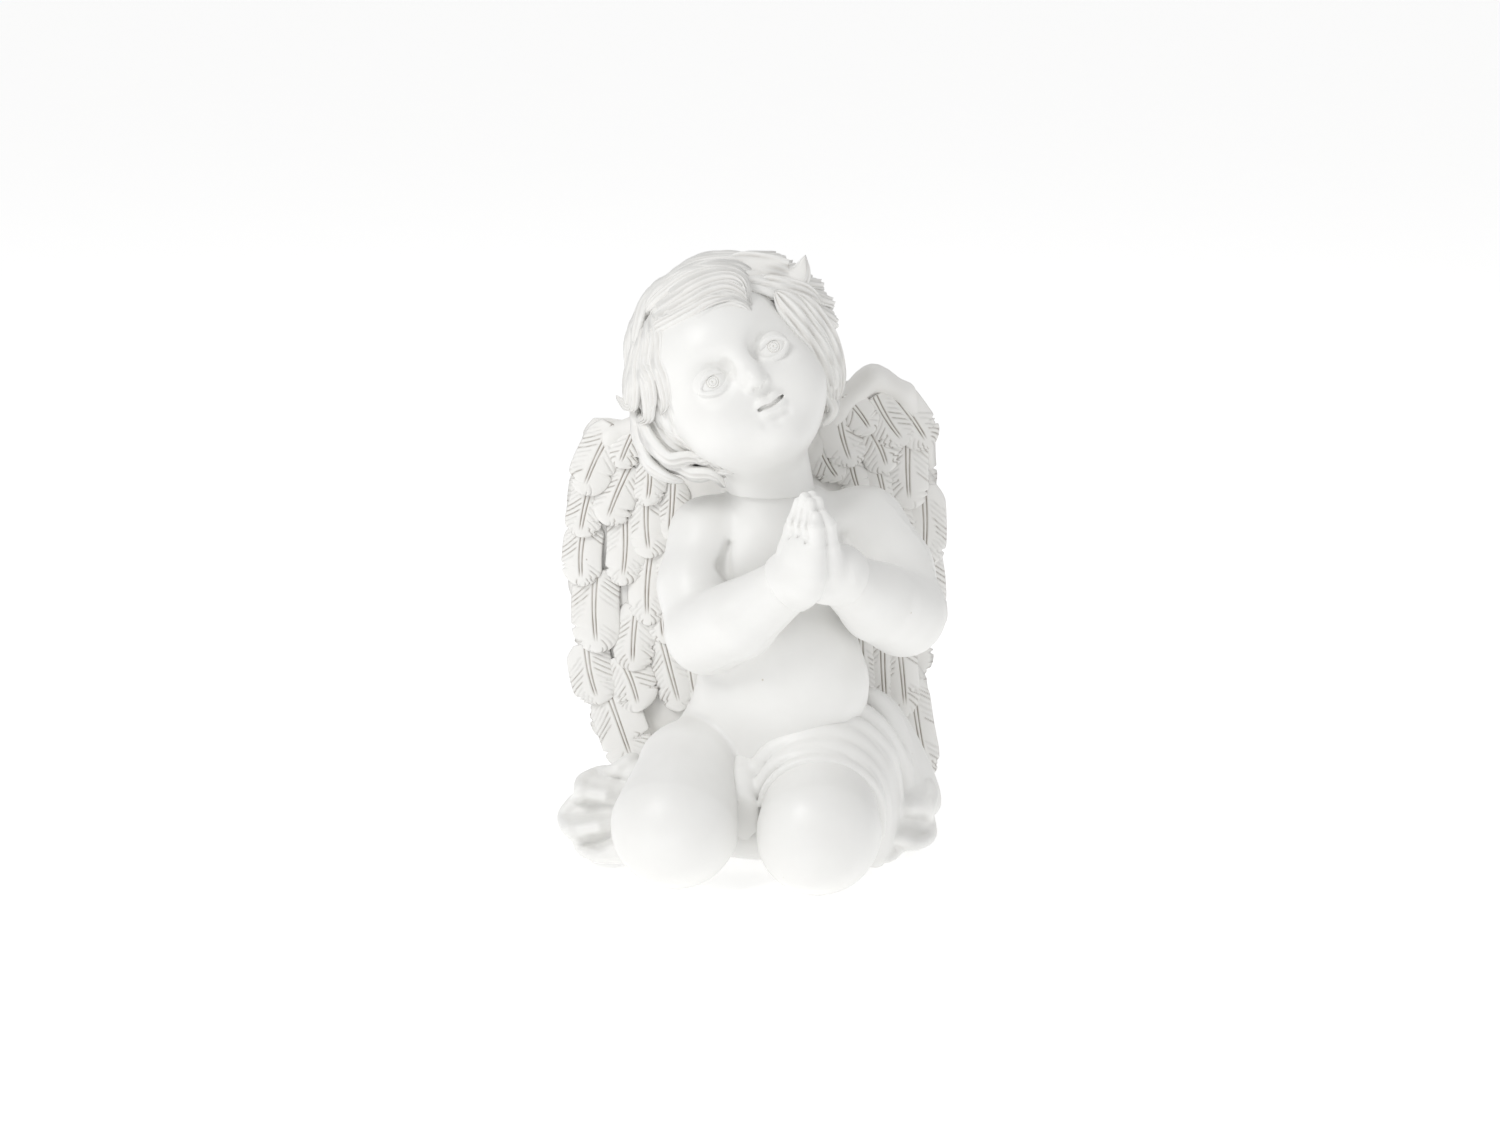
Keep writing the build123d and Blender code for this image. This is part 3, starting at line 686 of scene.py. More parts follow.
def eyeball(middle, radius, gaze):
    """A cap of a sphere about the gaze, radius times (sin, cos) of an angle that runs out from
    the pupil, sunk by a groove at the iris ring, a second ring, and a dot."""
    out = np.concatenate([np.linspace(0.0, 1.1, 84), np.linspace(1.3, math.pi, 6)])[:, None]
    turn = np.linspace(0, 2 * math.pi, 72, endpoint=False)[None, :]
    arc = out * radius
    groove = np.exp(-(((arc - IRIS) / 0.17) ** 2))
    groove = groove + 0.7 * np.exp(-(((arc - IRIS * 0.62) / 0.15) ** 2))
    groove = groove + 1.3 * np.exp(-((arc / PUPIL / 0.6) ** 2))
    rays = 0.25 * np.sin(14 * turn) * np.exp(-(((arc - IRIS * 0.8) / 0.3) ** 2))
    r = radius - SCRIBED_DEEP * (groove + rays)
    gaze = unit(gaze)
    side = unit(np.cross(gaze, (0, 0, 1)))
    up = np.cross(side, gaze)
    around = side * np.cos(turn)[..., None] + up * np.sin(turn)[..., None]
    at = np.array(middle) + r[..., None] * (
        np.cos(out)[..., None] * gaze + np.sin(out)[..., None] * around
    )
    # The marks feed the groove attribute, so the scribed rings and the dot get painted shade.
    marks = np.clip(groove + 0 * turn, 0, 1)
    return at.reshape(-1, 3), grid_faces(90, 72, True), marks.ravel()


eyes = bundle(
    eyeball(EYE * (side, 1, 1), EYE_RADIUS, (side * 0.06, -1.0, 0.06)) for side in (-1, 1)
)
new_piece("scribed_eyes", from_head(eyes[0]), eyes[1], "white_resin", [], eyes[2])

# %% [markdown]
# ## The praying hands
# The pair of hands is a third casting, glued on at the wrists, where a crease shows. The palms are
# pressed together, so each hand is built on the same three directions: up the fingers, across the
# knuckles, and out of the back of the hand. The second hand only changes the sign of the third.

# %% Press the hands together
FINGERS_UP = unit((-0.02, -0.06, 1.0))
PALMS_OUT = unit(np.cross(FINGERS_UP, (-0.60, 0.80, 0.0)))  # out of the right hand's back
KNUCKLES = np.cross(FINGERS_UP, PALMS_OUT)
PALMS_MEET = np.array((18.3, -45.0, 106.0))
FINGER_REACH = (18.6, 20.6, 19.4, 15.6)
FINGER_APART = 3.5
HANDS_LOW, HANDS_HIGH, HANDS_STEP = (-2, -58, 86), (40, -26, 134), 0.42
hands = Clay(HANDS_LOW, HANDS_HIGH, HANDS_STEP)


def on_hand(side, out, across, up):
    """A place on a hand: so far out of its back, across its knuckles and up its fingers."""
    return PALMS_MEET + side * out * PALMS_OUT + across * KNUCKLES + up * FINGERS_UP


palm_turn = np.array([PALMS_OUT, KNUCKLES, FINGERS_UP])
for side, wrist, cuff in ((1, RIGHT_WRIST, RIGHT_CUFF), (-1, LEFT_WRIST, LEFT_CUFF)):
    lone = Clay(HANDS_LOW, HANDS_HIGH, HANDS_STEP)
    lone.limb([wrist - 6 * cuff, wrist + 3 * cuff, on_hand(side, 3.8, 0, -6)], [8.5, 9.0, 6.4], 4)
    lone.ball(on_hand(side, 3.4, 0, -1), (5.4, 7.8, 11.0), 3, palm_turn)
    for n, reach in enumerate(FINGER_REACH):
        across = (n - 1.5) * FINGER_APART
        knuckle = on_hand(side, 2.6, across * 1.08, 6)
        lone.limb([on_hand(side, 3.2, across * 0.9, -2), knuckle], [3.4, 2.7], 3)
        middle_joint = on_hand(side, 2.2, across, 12.5)
        tip = on_hand(side, 1.4, across * 0.76, reach)
        lone.limb([knuckle, middle_joint, tip], [2.7, 2.4, 1.8], 0.35)
        lone.ball(on_hand(side, 3.2, across * 0.96, 13.0), 1.9, 0.8)
    lone.limb(
        [
            on_hand(side, 3.6, -6.0, -4),
            on_hand(side, 2.9, -8.2, 3),
            on_hand(side, 2.0, -8.0, 10),
        ],
        [3.6, 2.8, 2.0],
        2.0,
    )
    for n in range(3):
        between = (n - 1) * FINGER_APART
        line = [(5.4, between * 1.06, 7.0), (4.3, between, 12.0), (3.2, between * 0.84, 17.5)]
        lone.limb([on_hand(side, *stop) for stop in line], [0.3, 0.6, 0.5], 0.6, carve=True)
    lone.cut(wrist, -cuff)
    hands.join(np.s_[:, :, :], lone.depth, 0.35, False)
hand_at, hand_faces = hands.skin()
new_piece("praying_pair", hand_at, hand_faces, "white_resin", ["praying_hands"])

# %% [markdown]
# ## The cloth
# The cherub kneels on a cloth that is wrapped over the left thigh in rolled folds and spreads
# behind the knees in a ruffled hem. It is part of the body casting. The rolled folds and
# the frills beside the knees are pressed in clay, because they melt into each other. The hem is a
# thin sheet on a grid, whose waves grow towards the edge, and a Solidify modifier makes it thick.

# %% Rolled folds over the left thigh
FOLDS = [
    [(-4, -11, 29), (-4.5, -11, 40), (0, -12, 47.5), (8, -12, 52.5), (18, -12, 54.5),
     (27, -11, 53), (34, -9, 50), (40, -6, 45), (45, -4, 38), (48.5, -3, 30), (50, -3, 19)],
    [(-3, -15, 25), (-2, -16, 37), (3, -17, 44.5), (11, -17.5, 48.8), (20, -17.5, 50.5),
     (29, -16, 48.8), (36, -14, 45), (42, -11, 38), (45.5, -9, 29), (47, -8, 17)],
    [(-1, -19, 21), (0.5, -21, 33), (5.5, -22, 41), (13, -22.3, 45.4), (22, -22, 46.6),
     (30, -21, 44.5), (36.5, -19, 39.5), (41.5, -17, 31), (43.5, -14, 20)],
    [(0.5, -24, 17), (2, -25.5, 29), (7, -26.6, 37.5), (14.5, -27, 42.2), (23, -27, 43.2),
     (31, -26, 40.6), (37.5, -24, 34.5), (41.5, -22, 25), (42, -20, 14)],
    [(2.5, -30, 17), (3.6, -31, 28), (8.5, -32, 35.5), (15.5, -32.4, 39.4), (23, -32.2, 40.0),
     (31, -31, 37), (37.6, -29.4, 30.5), (40.5, -27.5, 21), (41, -26, 12)],
]
FOLD_THICK = (3.0, 2.5, 2.7, 2.4, 2.1)


def ruffle(clay, inner, rim, waves, depth, facing):
    """Ribs from an inner line out to a rim, pushed towards one side by depth * sin(2 pi waves t)
    at the rim and by nothing at the inner line, with a roll along the rim."""
    count = 18 * waves + 1
    near, far = smooth_path(inner, count), smooth_path(rim, count)
    t = np.linspace(0, 1, count)[:, None]
    push = depth * (np.sin(2 * np.pi * waves * t) + 0.3 * np.sin(4.6 * np.pi * waves * t + 1))
    far = far + push * unit(facing) + 1.5 * np.cos(2 * np.pi * waves * t) * unit(far - near)
    far[:, 2] = np.maximum(far[:, 2], 2.2)
    for a, b, p in zip(near, far, push[:, 0]):
        clay.limb([a, (a + b) / 2 + 0.5 * p * unit(facing), b], [2.0, 1.3, 1.4], 1.2)
    clay.limb(far, 2.0, 0.8)


CLOTH_STEP = 0.75
cloth = Clay((-66, -46, -2), (66, 40, 66), CLOTH_STEP)
cloth.limb([(21, 4, 36), (21.5, -12, 33), (21.5, -28, 22)], [17.8, 18.6, 17.8], 5)
cloth.limb([(2, 0, 30), (0, -10, 34)], [9, 8], 8)
cloth.limb([(38, 6, 26), (45, 2, 12)], [10, 8], 8)
cloth.ball((39, -5, 20), (8.5, 20, 22), 6)
for hang, thick in (
    ([(-3, -8, 38), (-3.5, -20, 33), (-3, -27, 25), (-2.5, -29, 15), (-2, -29, 4)], 4.6),
    ([(-5, -12, 40), (-5.5, -23, 33), (-4.6, -30, 24), (-4, -32, 14), (-4, -32, 4)], 1.9),
    ([(-1, -16, 38), (-1.5, -25, 31), (-1, -31, 22), (-0.6, -33, 13), (-0.5, -33, 4)], 1.9),
):
    cloth.limb(smooth_path(hang, 12), thick, 1.4)
cloth.ball((40, 12, 26), (11, 14, 24), 6)
for flow in (
    [(38, 2, 53), (44, 3, 44), (48, 3, 33), (52, 1, 20), (53, 0, 9)],
    [(40, 9, 50), (47, 9, 40), (53, 7, 28), (57, 5, 16)],
    [(36, 14, 50), (45, 16, 38), (52, 15, 24), (55, 13, 10)],
):
    cloth.limb(smooth_path(flow, 16), np.linspace(2.6, 3.6, 16), 3.5)
for fold, thick in zip(FOLDS, FOLD_THICK):
    line = smooth_path(fold, 34)
    share = np.linspace(0, 1, len(line))
    swell = thick * (0.72 + 0.28 * np.sin(np.pi * share)) * (1 + 0.1 * np.sin(9 * share + thick))
    cloth.limb(line, swell, 1.5)
for a, b in zip(FOLDS, FOLDS[1:]):
    near, far = smooth_path(a, 34), smooth_path(b, 34)
    for low_share, high_share, lift in ((8, 20, 1.2), (17, 29, 0.9)):
        share = np.linspace(0.25, 0.75, high_share - low_share)[:, None]
        between = near[low_share:high_share] * (1 - share) + far[low_share:high_share] * share
        outward = unit(between - np.array((21, between[:, 1].mean(), 24)))
        cloth.limb(between + outward * (lift - 0.2), 1.1, 1.4)
ruffle(
    cloth,
    [(-33, 0, 28), (-37, -2, 24), (-40, -4, 18), (-40, -8, 13), (-38, -12, 9), (-34, -17, 6)],
    [(-37, 3, 31), (-45, 2, 29), (-51, 1, 26), (-56, 0, 22), (-58.5, -1, 16), (-58.5, -3, 10),
     (-55.5, -6, 6), (-49, -10, 4), (-41, -15, 3), (-34, -19, 3)],
    4, 4.6, (0.1, -0.95, 0.2),
)
ruffle(
    cloth,
    [(44, -1, 36), (45, -4, 26), (44, -8, 17), (41, -12, 12), (38, -15, 9)],
    [(46, 2, 36), (51, 1, 29), (56, 0, 22), (57.5, -2, 14), (55, -5, 8), (49, -9, 6),
     (42, -14, 5)],
    3, 4.0, (-0.1, -0.95, 0.2),
)
part, (x, y, z) = cloth.region(cloth.low, cloth.low + cloth.step * np.array(cloth.depth.shape))
cloth.join(part, z + 0 * x + 0 * y, 0.5, True)
cloth.cut((0, -33.2, 36), unit((0.0, -0.86, -0.30)), 1.2)
cloth_at, cloth_faces = cloth.skin()
new_piece("rolled_folds", cloth_at, cloth_faces, "white_resin", ["body_casting"])

# %% Ruffled hem round the back and sides
HEM_ROUND = 420
HEM_OUT = 26
HEM_MIDDLE = (1.0, 14.0)


def hem_sheet():
    """A sheet from an inner line under the figure out to the hem. The path is an ellipse with a
    bulge at each side; height falls outwards, and waves, many round the hem, grow outwards."""
    turn = np.linspace(math.radians(-222), math.radians(42), HEM_ROUND)[:, None]
    out = np.linspace(0, 1, HEM_OUT)[None, :]
    waves = np.sin(15 * turn + 1.3 * np.sin(3 * turn)) + 0.45 * np.sin(31 * turn + 0.8)
    left_bulge = np.exp(-(((turn + math.radians(196)) / 0.34) ** 2))
    right_bulge = np.exp(-(((turn - math.radians(14)) / 0.30) ** 2))
    far_x = 45.5 + 10.5 * left_bulge + 9.0 * right_bulge
    far_y = 35.0 + 2.0 * np.sin(4 * turn)
    reach = 0.30 + 0.70 * out + 0.045 * waves * out**2
    x = HEM_MIDDLE[0] + far_x * reach * np.cos(turn)
    y = HEM_MIDDLE[1] - far_y * reach * np.sin(turn)
    inner = 17.0 + 9.0 * left_bulge + 6.0 * right_bulge
    ruffle = (2.6 + 4.2 * left_bulge + 3.2 * right_bulge) * waves * out**1.6
    fall = inner * (1 - out**2.2) + (6.2 + 5.5 * left_bulge + 3.6 * right_bulge) * out**2
    curl = -5.0 * np.clip(out - 0.82, 0, 1) * (1 + left_bulge) * 3.2
    z = np.maximum(fall + ruffle + curl, 1.4)
    return np.stack([x + 0 * z, y + 0 * z, z], -1).reshape(-1, 3), grid_faces(HEM_ROUND, HEM_OUT)


hem_at, hem_faces = hem_sheet()
hem = new_piece("ruffled_hem", hem_at, hem_faces, "white_resin", ["body_casting"])
thick = hem.modifiers.new("resin_thickness", "SOLIDIFY")
thick.thickness, thick.offset = 2.2 * MM, -1.0

# %% [markdown]
# ## The hair
# The hair is carved as locks that sweep over a skull cap, each a flat ribbon with fine strands that
# run together at its tip. So a lock is a closed profile, flat below and ridged above, carried along
# a path. The paths are written as stops on an ellipsoid round the head: degrees round from the face
# towards the cherub's left, degrees up, and millimetres of lift. The free ends have stops in
# millimetres on the figure instead, because they leave the head.

# %% How a lock lies
HAIR_MIDDLE = np.array((4.3, 5.6, 3.6))
HAIR_RADII = np.array((28.8, 30.5, 30.3))
LOCK_LONG = 44
LOCK_ROUND = 36
GROOVE_DEEP, FINE_DEEP = 0.62, 0.20  # shares of the height that the grooves take away
UNDERSIDE = 0.55  # how deep the underside is, as a share of the height of the top


def scalp(stops):
    """Stops round, up and lift: the ellipsoid's point in that direction, moved out by the lift."""
    stops = np.array([(*stop, 0)[:3] for stop in stops], float)
    round_, up = np.radians(stops[:, 0]), np.radians(stops[:, 1])
    out = np.stack([np.sin(round_) * np.cos(up), -np.cos(round_) * np.cos(up), np.sin(up)], 1)
    return HAIR_MIDDLE + out * (HAIR_RADII + stops[:, 2:])


def lock(points, width, thick, strands=5, facing=None):
    """A closed profile along a smooth path. Its width opens in the first fifth and closes to a
    point over the last half; its top is a half ellipse cut by grooves between strands. It lies
    flat on the head unless it is told which way its top faces."""
    line = smooth_path(points, LOCK_LONG)
    along = unit(np.gradient(line, axis=0))
    out = unit((line - HAIR_MIDDLE) / HAIR_RADII**2)
    if facing is not None:
        out = 0 * out + np.array(facing) @ HEAD_TURN
    side = unit(np.cross(along, out))
    out = np.cross(side, along)
    share = np.linspace(0, 1, LOCK_LONG)[:, None]
    open_ = np.clip(share / 0.2, 0, 1)
    close = np.clip((1 - share) / 0.5, 0, 1)
    swell = np.sin(open_ * np.pi / 2) ** 0.7 * np.sin(close * np.pi / 2) ** 0.95
    angle = np.linspace(0, 2 * math.pi, LOCK_ROUND, endpoint=False)[None, :]
    across, above = np.cos(angle), np.sin(angle)
    strand = across * strands * 0.36 + 0.35 * np.sin(3.1 * share + strands)
    groove = np.exp(-(((strand - np.round(strand)) / 0.22) ** 2)) * np.clip(above * 2.2, 0, 1)
    fine = np.exp(-(((strand * 3 - np.round(strand * 3)) / 0.25) ** 2)) * np.clip(above * 2, 0, 1)
    ridged = 1 - GROOVE_DEEP * groove - FINE_DEEP * fine
    height = above * np.where(above > 0, 1.0, UNDERSIDE) * ridged
    shape = line[:, None] + (width / 2 * swell * across)[..., None] * side[:, None]
    shape = shape + (thick * np.sqrt(swell) * height)[..., None] * out[:, None]
    shape[0], shape[-1] = line[0], line[-1]
    # The marks feed the groove attribute: painted shade in the grooves between strands.
    marks = (groove + 0.4 * fine).ravel()
    return shape.reshape(-1, 3), grid_faces(LOCK_LONG, LOCK_ROUND, True), marks


print("a lock has", LOCK_LONG, "rings of", LOCK_ROUND, "points")

# %% Skull cap
CAP_MIDDLE = (2.8, 6.6, 4.4)
CAP_RADII = (26.6, 27.6, 27.6)


def skull_cap(rows=70, columns=240):
    """The ellipsoid a little smaller, from the crown down to the neck behind and the hairline in
    front, combed into shallow waves that run from the crown downwards."""
    turn = np.linspace(0, 2 * math.pi, columns, endpoint=False)[None, :]
    from_face = (turn + 0.17 + math.pi) % (2 * math.pi) - math.pi
    front = np.exp(-((np.abs(from_face) / np.where(from_face > 0, 0.80, 0.92)) ** 6))
    lowest = math.radians(-42) + math.radians(98) * front
    up = math.pi / 2 + (lowest - math.pi / 2) * np.linspace(0, 1, rows)[:, None]
    comb = np.sin(26 * turn + 5 * np.sin(3 * up)) + 0.6 * np.sin(61 * turn + 4 * up)
    out = np.stack(
        [np.sin(turn) * np.cos(up), -np.cos(turn) * np.cos(up), np.sin(up) + 0 * turn], -1
    )
    radii = np.array(CAP_RADII) + (0.35 * comb * np.cos(up))[..., None]
    tuck = 1 - 0.10 * np.clip(np.linspace(0, 1, rows) - 0.88, 0, 1)[:, None, None] / 0.12
    at = np.array(CAP_MIDDLE) + out * radii * tuck
    at[0], at[-1] = at[0].mean(0), at[-1].mean(0)
    # The troughs of the combed waves feed the groove attribute as painted shade.
    return at.reshape(-1, 3), grid_faces(rows, columns, True), np.clip(-comb, 0, 1).ravel()


cap = skull_cap()
new_piece("hair_cap", from_head(cap[0]), cap[1], "white_resin", ["head_casting"], cap[2])

# %% Locks over the forehead and the crown
CROWN_LOCKS = [  # width, thickness, number of strands, stops
    (9.5, 2.6, 7, [(-84, 42, -2.5), (-64, 44, -1), (-45, 40), (-30, 33), (-18, 33), (-5, 34),
     (6, 31), (12, 24), (14, 17, -1)]),
    (8.5, 2.8, 6, [(-80, 48, -2), (-60, 49, -0.6), (-42, 48), (-20, 46, 1), (0, 45, 1),
     (13, 40, 1), (19, 31), (17, 20, -1)]),
    (8.5, 2.8, 6, [(-84, 54, -1.5), (-60, 55, -0.4), (-38, 54, 0.6), (-12, 52, 2), (8, 49, 2),
     (21, 42, 2), (23, 33, 1), (14, 21, -1)]),
    (8.0, 2.6, 6, [(-86, 58), (-62, 62), (-30, 62, 1), (0, 60, 1.5), (18, 54, 2), (30, 46, 1.5),
     (36, 38, 0)]),
    (9.0, 2.6, 7, [(-92, 66), (-60, 70), (-20, 71, 1), (12, 66, 1.5), (28, 57, 2), (38, 46, 1.5),
     (44, 36, 0)]),
    (8.0, 2.8, 6, [(-100, 74), (-40, 80, 1), (20, 74, 2), (38, 63, 2), (48, 50, 2), (55, 38, 1),
     (62, 30, 0)]),
    (8.5, 2.8, 6, [(-130, 78), (60, 87, 1), (60, 74, 2), (62, 62, 2), (68, 50, 2), (76, 40, 1)]),
    (8.5, 2.8, 6, [(150, 74), (110, 78, 1), (88, 68, 2), (82, 56, 2), (84, 44, 1.5), (90, 33, 1)]),
    (7.0, 2.4, 5, [(-96, 48), (-80, 60, 1), (-50, 66, 2), (-20, 66, 2), (2, 61, 2.5),
     (14, 53, 2.5), (20, 45, 2)]),
    (5.0, 2.0, 4, [(-72, 36, 1), (-52, 38, 1.4), (-36, 37, 1.6), (-22, 36, 1.6), (-8, 35.5, 1.5),
     (4, 32, 1), (11, 26, 0)]),
    (5.0, 2.0, 4, [(-70, 54, 2), (-48, 58, 2.4), (-18, 60, 2.6), (6, 56, 2.8), (22, 48, 2.4),
     (29, 40, 1)]),
]
RIGHT_LOCKS = [
    (11.0, 3.6, 5, [(26, 56, -3), (36, 45, -2.6), (45, 33, -2), (52, 20, -1.6), (57, 7, -1.2),
     (62, -6, -0.8), (66, -20, -0.4), (74, -30, 0)]),
    (11.0, 3.8, 5, [(38, 58, -1.6), (50, 46, -0.8), (58, 32, 0), (66, 18, 0.6), (72, 4, 1),
     (77, -10, 1), (82, -24, 0.6)]),
    (9.0, 2.6, 6, [(24, 56, -2), (35, 49, -1), (48, 40, 0.5), (62, 32, 2.5), (78, 26, 5),
     (92, 26, 6.5), (102, 32, 3)]),
    (8.5, 2.6, 6, [(30, 50, -2.6), (41, 40, -1.2), (54, 30, 0.5), (68, 21, 3), (82, 16, 6),
     (95, 18, 7), (104, 27, 4)]),
    (8.0, 2.6, 6, [(35, 43, -3), (46, 32, -1.5), (57, 20, 0.5), (70, 10, 3), (83, 5, 6),
     (96, 7, 7), (104, 16, 4)]),
    (7.5, 2.6, 6, [(40, 35, -3.4), (50, 22, -1.8), (60, 10, 0), (71, 0, 2.4), (83, -5, 5),
     (94, -3, 6), (101, 6, 3)]),
    (7.0, 2.4, 5, [(44, 26, -3.8), (53, 13, -2), (61, 0, -0.5), (69, -10, 1), (80, -15, 3),
     (91, -12, 3.5), (98, -4, 2)]),
    (6.5, 2.2, 5, [(47, 17, -4), (55, 4, -2.4), (61, -10, -1.5), (66, -22, -0.5), (76, -27, 0.8),
     (86, -23, 0.8)]),
    (5.0, 2.0, 4, [(33, 46, -1.6), (45, 35, -0.2), (57, 24, 1.8), (70, 15, 4.4), (84, 10, 7.6),
     (95, 13, 8), (101, 21, 5)]),
    (5.0, 2.0, 4, [(38, 39, -2.2), (49, 27, -0.4), (59, 14, 1.6), (71, 5, 4.2), (84, 0, 7.2),
     (95, 2, 7.4), (101, 10, 4)]),
    (4.6, 2.0, 3, [(42, 30, -2.8), (52, 17, -0.8), (60, 5, 1), (71, -5, 3.2), (83, -10, 5.4),
     (92, -7, 5.6), (98, 1, 3)]),
    (9.0, 3.0, 6, [(52, 64, 0), (62, 52, 1.5), (74, 41, 3), (87, 34, 5.5), (99, 34, 5.5),
     (108, 40, 2)]),
    (8.0, 3.0, 6, [(78, 54, 1), (86, 41, 2.5), (94, 28, 4), (102, 16, 5), (105, 6, 4),
     (99, -2, 2)]),
    (8.0, 3.0, 6, [(96, 48, 1), (102, 33, 2.5), (107, 17, 3.5), (110, 3, 3.5), (106, -9, 2.5),
     (98, -15, 1)]),
    (8.5, 3.0, 6, [(108, 35, 1), (112, 17, 2.5), (114, -1, 3), (110, -17, 2.5), (100, -27, 1)]),
]
LEFT_LOCKS = [
    (7.0, 2.8, 5, [(-68, 58, -1), (-60, 46, 0), (-54, 33, 1), (-58, 20, 1.4), (-58, 8, 2),
     (-64, -3, 2.4), (-74, -7, 3.4)]),
    (7.0, 3.0, 5, [(-76, 58, -1.5), (-68, 45, -0.5), (-64, 32, 1), (-71, 19, 2.2), (-71, 8, 3.4),
     (-80, -4, 5.2), (-92, -3, 7.6)]),
    (7.0, 3.0, 5, [(-88, 56, -2), (-79, 44, -1), (-78, 31, 0.6), (-83, 20, 2.6), (-86, 11, 4.6),
     (-94, 6, 7), (-102, 13, 9)]),
    (7.5, 3.0, 6, [(-100, 52, -1.5), (-92, 40, -0.5), (-92, 28, 1.6), (-97, 17, 3.6),
     (-103, 8, 6), (-110, 10, 8)]),
    (4.6, 2.4, 4, [(-73, 50, 0.4), (-65, 36, 1.2), (-69, 22, 2.6), (-66, 11, 3.4), (-73, 0, 4.2),
     (-83, -2, 5.6)]),
    (4.6, 2.4, 4, [(-84, 50, 0), (-74, 36, 1), (-77, 24, 2.6), (-80, 12, 4.4), (-88, 4, 6.6),
     (-96, 9, 9)]),
    (4.2, 2.2, 3, [(-94, 46, 0.4), (-86, 34, 1.4), (-89, 22, 3), (-93, 12, 5.4), (-100, 8, 8)]),
    (9.0, 3.0, 6, [(-58, 24, 0), (-60, 8, 0.6), (-65, -8, 0.6), (-70, -24, 1), (-70, -38, 2),
     (-60, -48, 3)]),
    (10.0, 3.4, 6, [(-72, 20, 0), (-76, 4, 0.6), (-82, -12, 1), (-88, -28, 2), (-84, -44, 4),
     (-72, -54, 5)]),
    (7.0, 2.6, 5, [(-47, 28, -2.6), (-49, 15, -1), (-54, 0, 0), (-62, -15, 0.6), (-70, -30, 2),
     (-66, -44, 4), (-50, -48, 5)]),
    (5.6, 2.4, 4, [(-43, 19, -3.2), (-46, 2, -2), (-52, -15, -0.8), (-57, -30, 0.6),
     (-52, -40, 2), (-40, -42, 3.4)]),
    (6.5, 2.8, 5, [(-62, 10, 0), (-66, -5, 0.6), (-74, -20, 1.4), (-81, -34, 3), (-78, -47, 6),
     (-64, -54, 8)]),
    (6.5, 2.8, 5, [(-74, 6, 0.4), (-83, -10, 1.4), (-91, -26, 2.6), (-91, -42, 5), (-81, -54, 8)]),
    (6.5, 2.6, 5, [(-90, 10, 0.4), (-98, -8, 1.2), (-103, -26, 2.2), (-101, -42, 4),
     (-93, -55, 7)]),
]
TO_VIEWER = (0.1, -1.0, 0.25)
FREE_ENDS = [  # width, thickness, number of strands, which way the top faces, stops
    (12.0, 2.6, 8, TO_VIEWER, [(-12, -4, 190), (-2, -6, 190.5), (6, -7, 189.5), (11.5, -7, 188),
     (15, -6.5, 190), (16.6, -6, 195.4)]),
    (8.0, 2.4, 6, TO_VIEWER, [(0, -9, 187), (8, -10, 185.5), (14, -9, 184), (18.5, -7, 182),
     (23, -5, 179)]),
    (9.0, 3.2, 5, (0.5, -0.85, 0.1), [(7, -13, 185), (11.5, -13, 180.4), (16.5, -11.5, 173.8),
     (20.6, -8.5, 167.2), (23.6, -5.5, 159.5), (25.2, -3.5, 151), (23.5, -3, 145)]),
    (9.0, 3.2, 5, (0.6, -0.8, 0.1), [(13, -10, 184), (17.5, -9, 178), (22, -7, 171),
     (25, -5, 163), (27, -3, 155), (26, -2, 148)]),
    (6.5, 2.6, 4, (-0.5, -0.85, 0.1), [(-28, -7, 164), (-27.8, -11, 158), (-25.6, -14.5, 149.5),
     (-22.4, -16.4, 142), (-16.8, -18, 137), (-11, -17.4, 133.5)]),
    (8.0, 3.0, 5, (-0.5, -0.85, 0.1), [(-31, -4, 160), (-31, -8, 152), (-28.6, -11.5, 144.5),
     (-24.6, -13.6, 138), (-18.5, -14.6, 134), (-13, -14.5, 131)]),
    (8.0, 3.0, 5, None, [(21, -3, 168), (25, -3, 162), (26, -2, 156), (23.5, -2, 151),
     (25.5, -3, 146), (22, -4, 141)]),
    (8.0, 3.0, 5, None, [(19, 3, 166), (23, 2, 160), (22.5, 1, 153), (25.5, 0, 147),
     (22, 0, 141)]),
    (12.0, 3.4, 6, None, [(-33, 0, 153), (-32, -4, 146), (-29, -7, 139.5), (-24, -9, 134),
     (-17, -10, 130.5), (-11, -10, 129)]),
    (12.0, 3.4, 6, None, [(-36, 3, 150), (-35, -1, 142), (-31, -5, 134), (-25, -8, 129.5),
     (-17, -9, 127)]),
    (9.0, 3.2, 6, None, [(-35, -8, 146), (-31, -12, 138), (-25, -15, 132.5), (-18, -16, 133.5),
     (-13, -15, 131)]),
    (8.5, 3.2, 6, None, [(-31, -4, 142), (-26, -10, 134), (-19, -13, 128.5), (-12.5, -14.5, 128),
     (-8, -13, 123.5)]),
    (7.0, 2.8, 5, None, [(-20, -13, 137), (-16, -16, 134), (-12, -17, 134), (-9.5, -16, 131),
     (-12, -14, 127)]),
    (8.0, 3.0, 5, None, [(-35, 0, 148), (-35, -4, 139), (-32, -8, 131), (-27, -11, 127),
     (-21, -12, 125)]),
]
front = [lock(scalp(s), w, t, n) for w, t, n, s in CROWN_LOCKS + RIGHT_LOCKS + LEFT_LOCKS]
front += [lock(to_head(s), w, t, n, facing) for w, t, n, facing, s in FREE_ENDS]
front_at, front_faces, front_groove = bundle(front)
new_piece(
    "hair_front", from_head(front_at), front_faces, "white_resin", ["head_casting"], front_groove
)

# %% Waves down the back of the head
BACK_ROWS = ((12, -50, -0.8, 14), (36, -22, 0.4, 14), (62, 2, 1.0, 14), (87, 34, 0.6, 13))


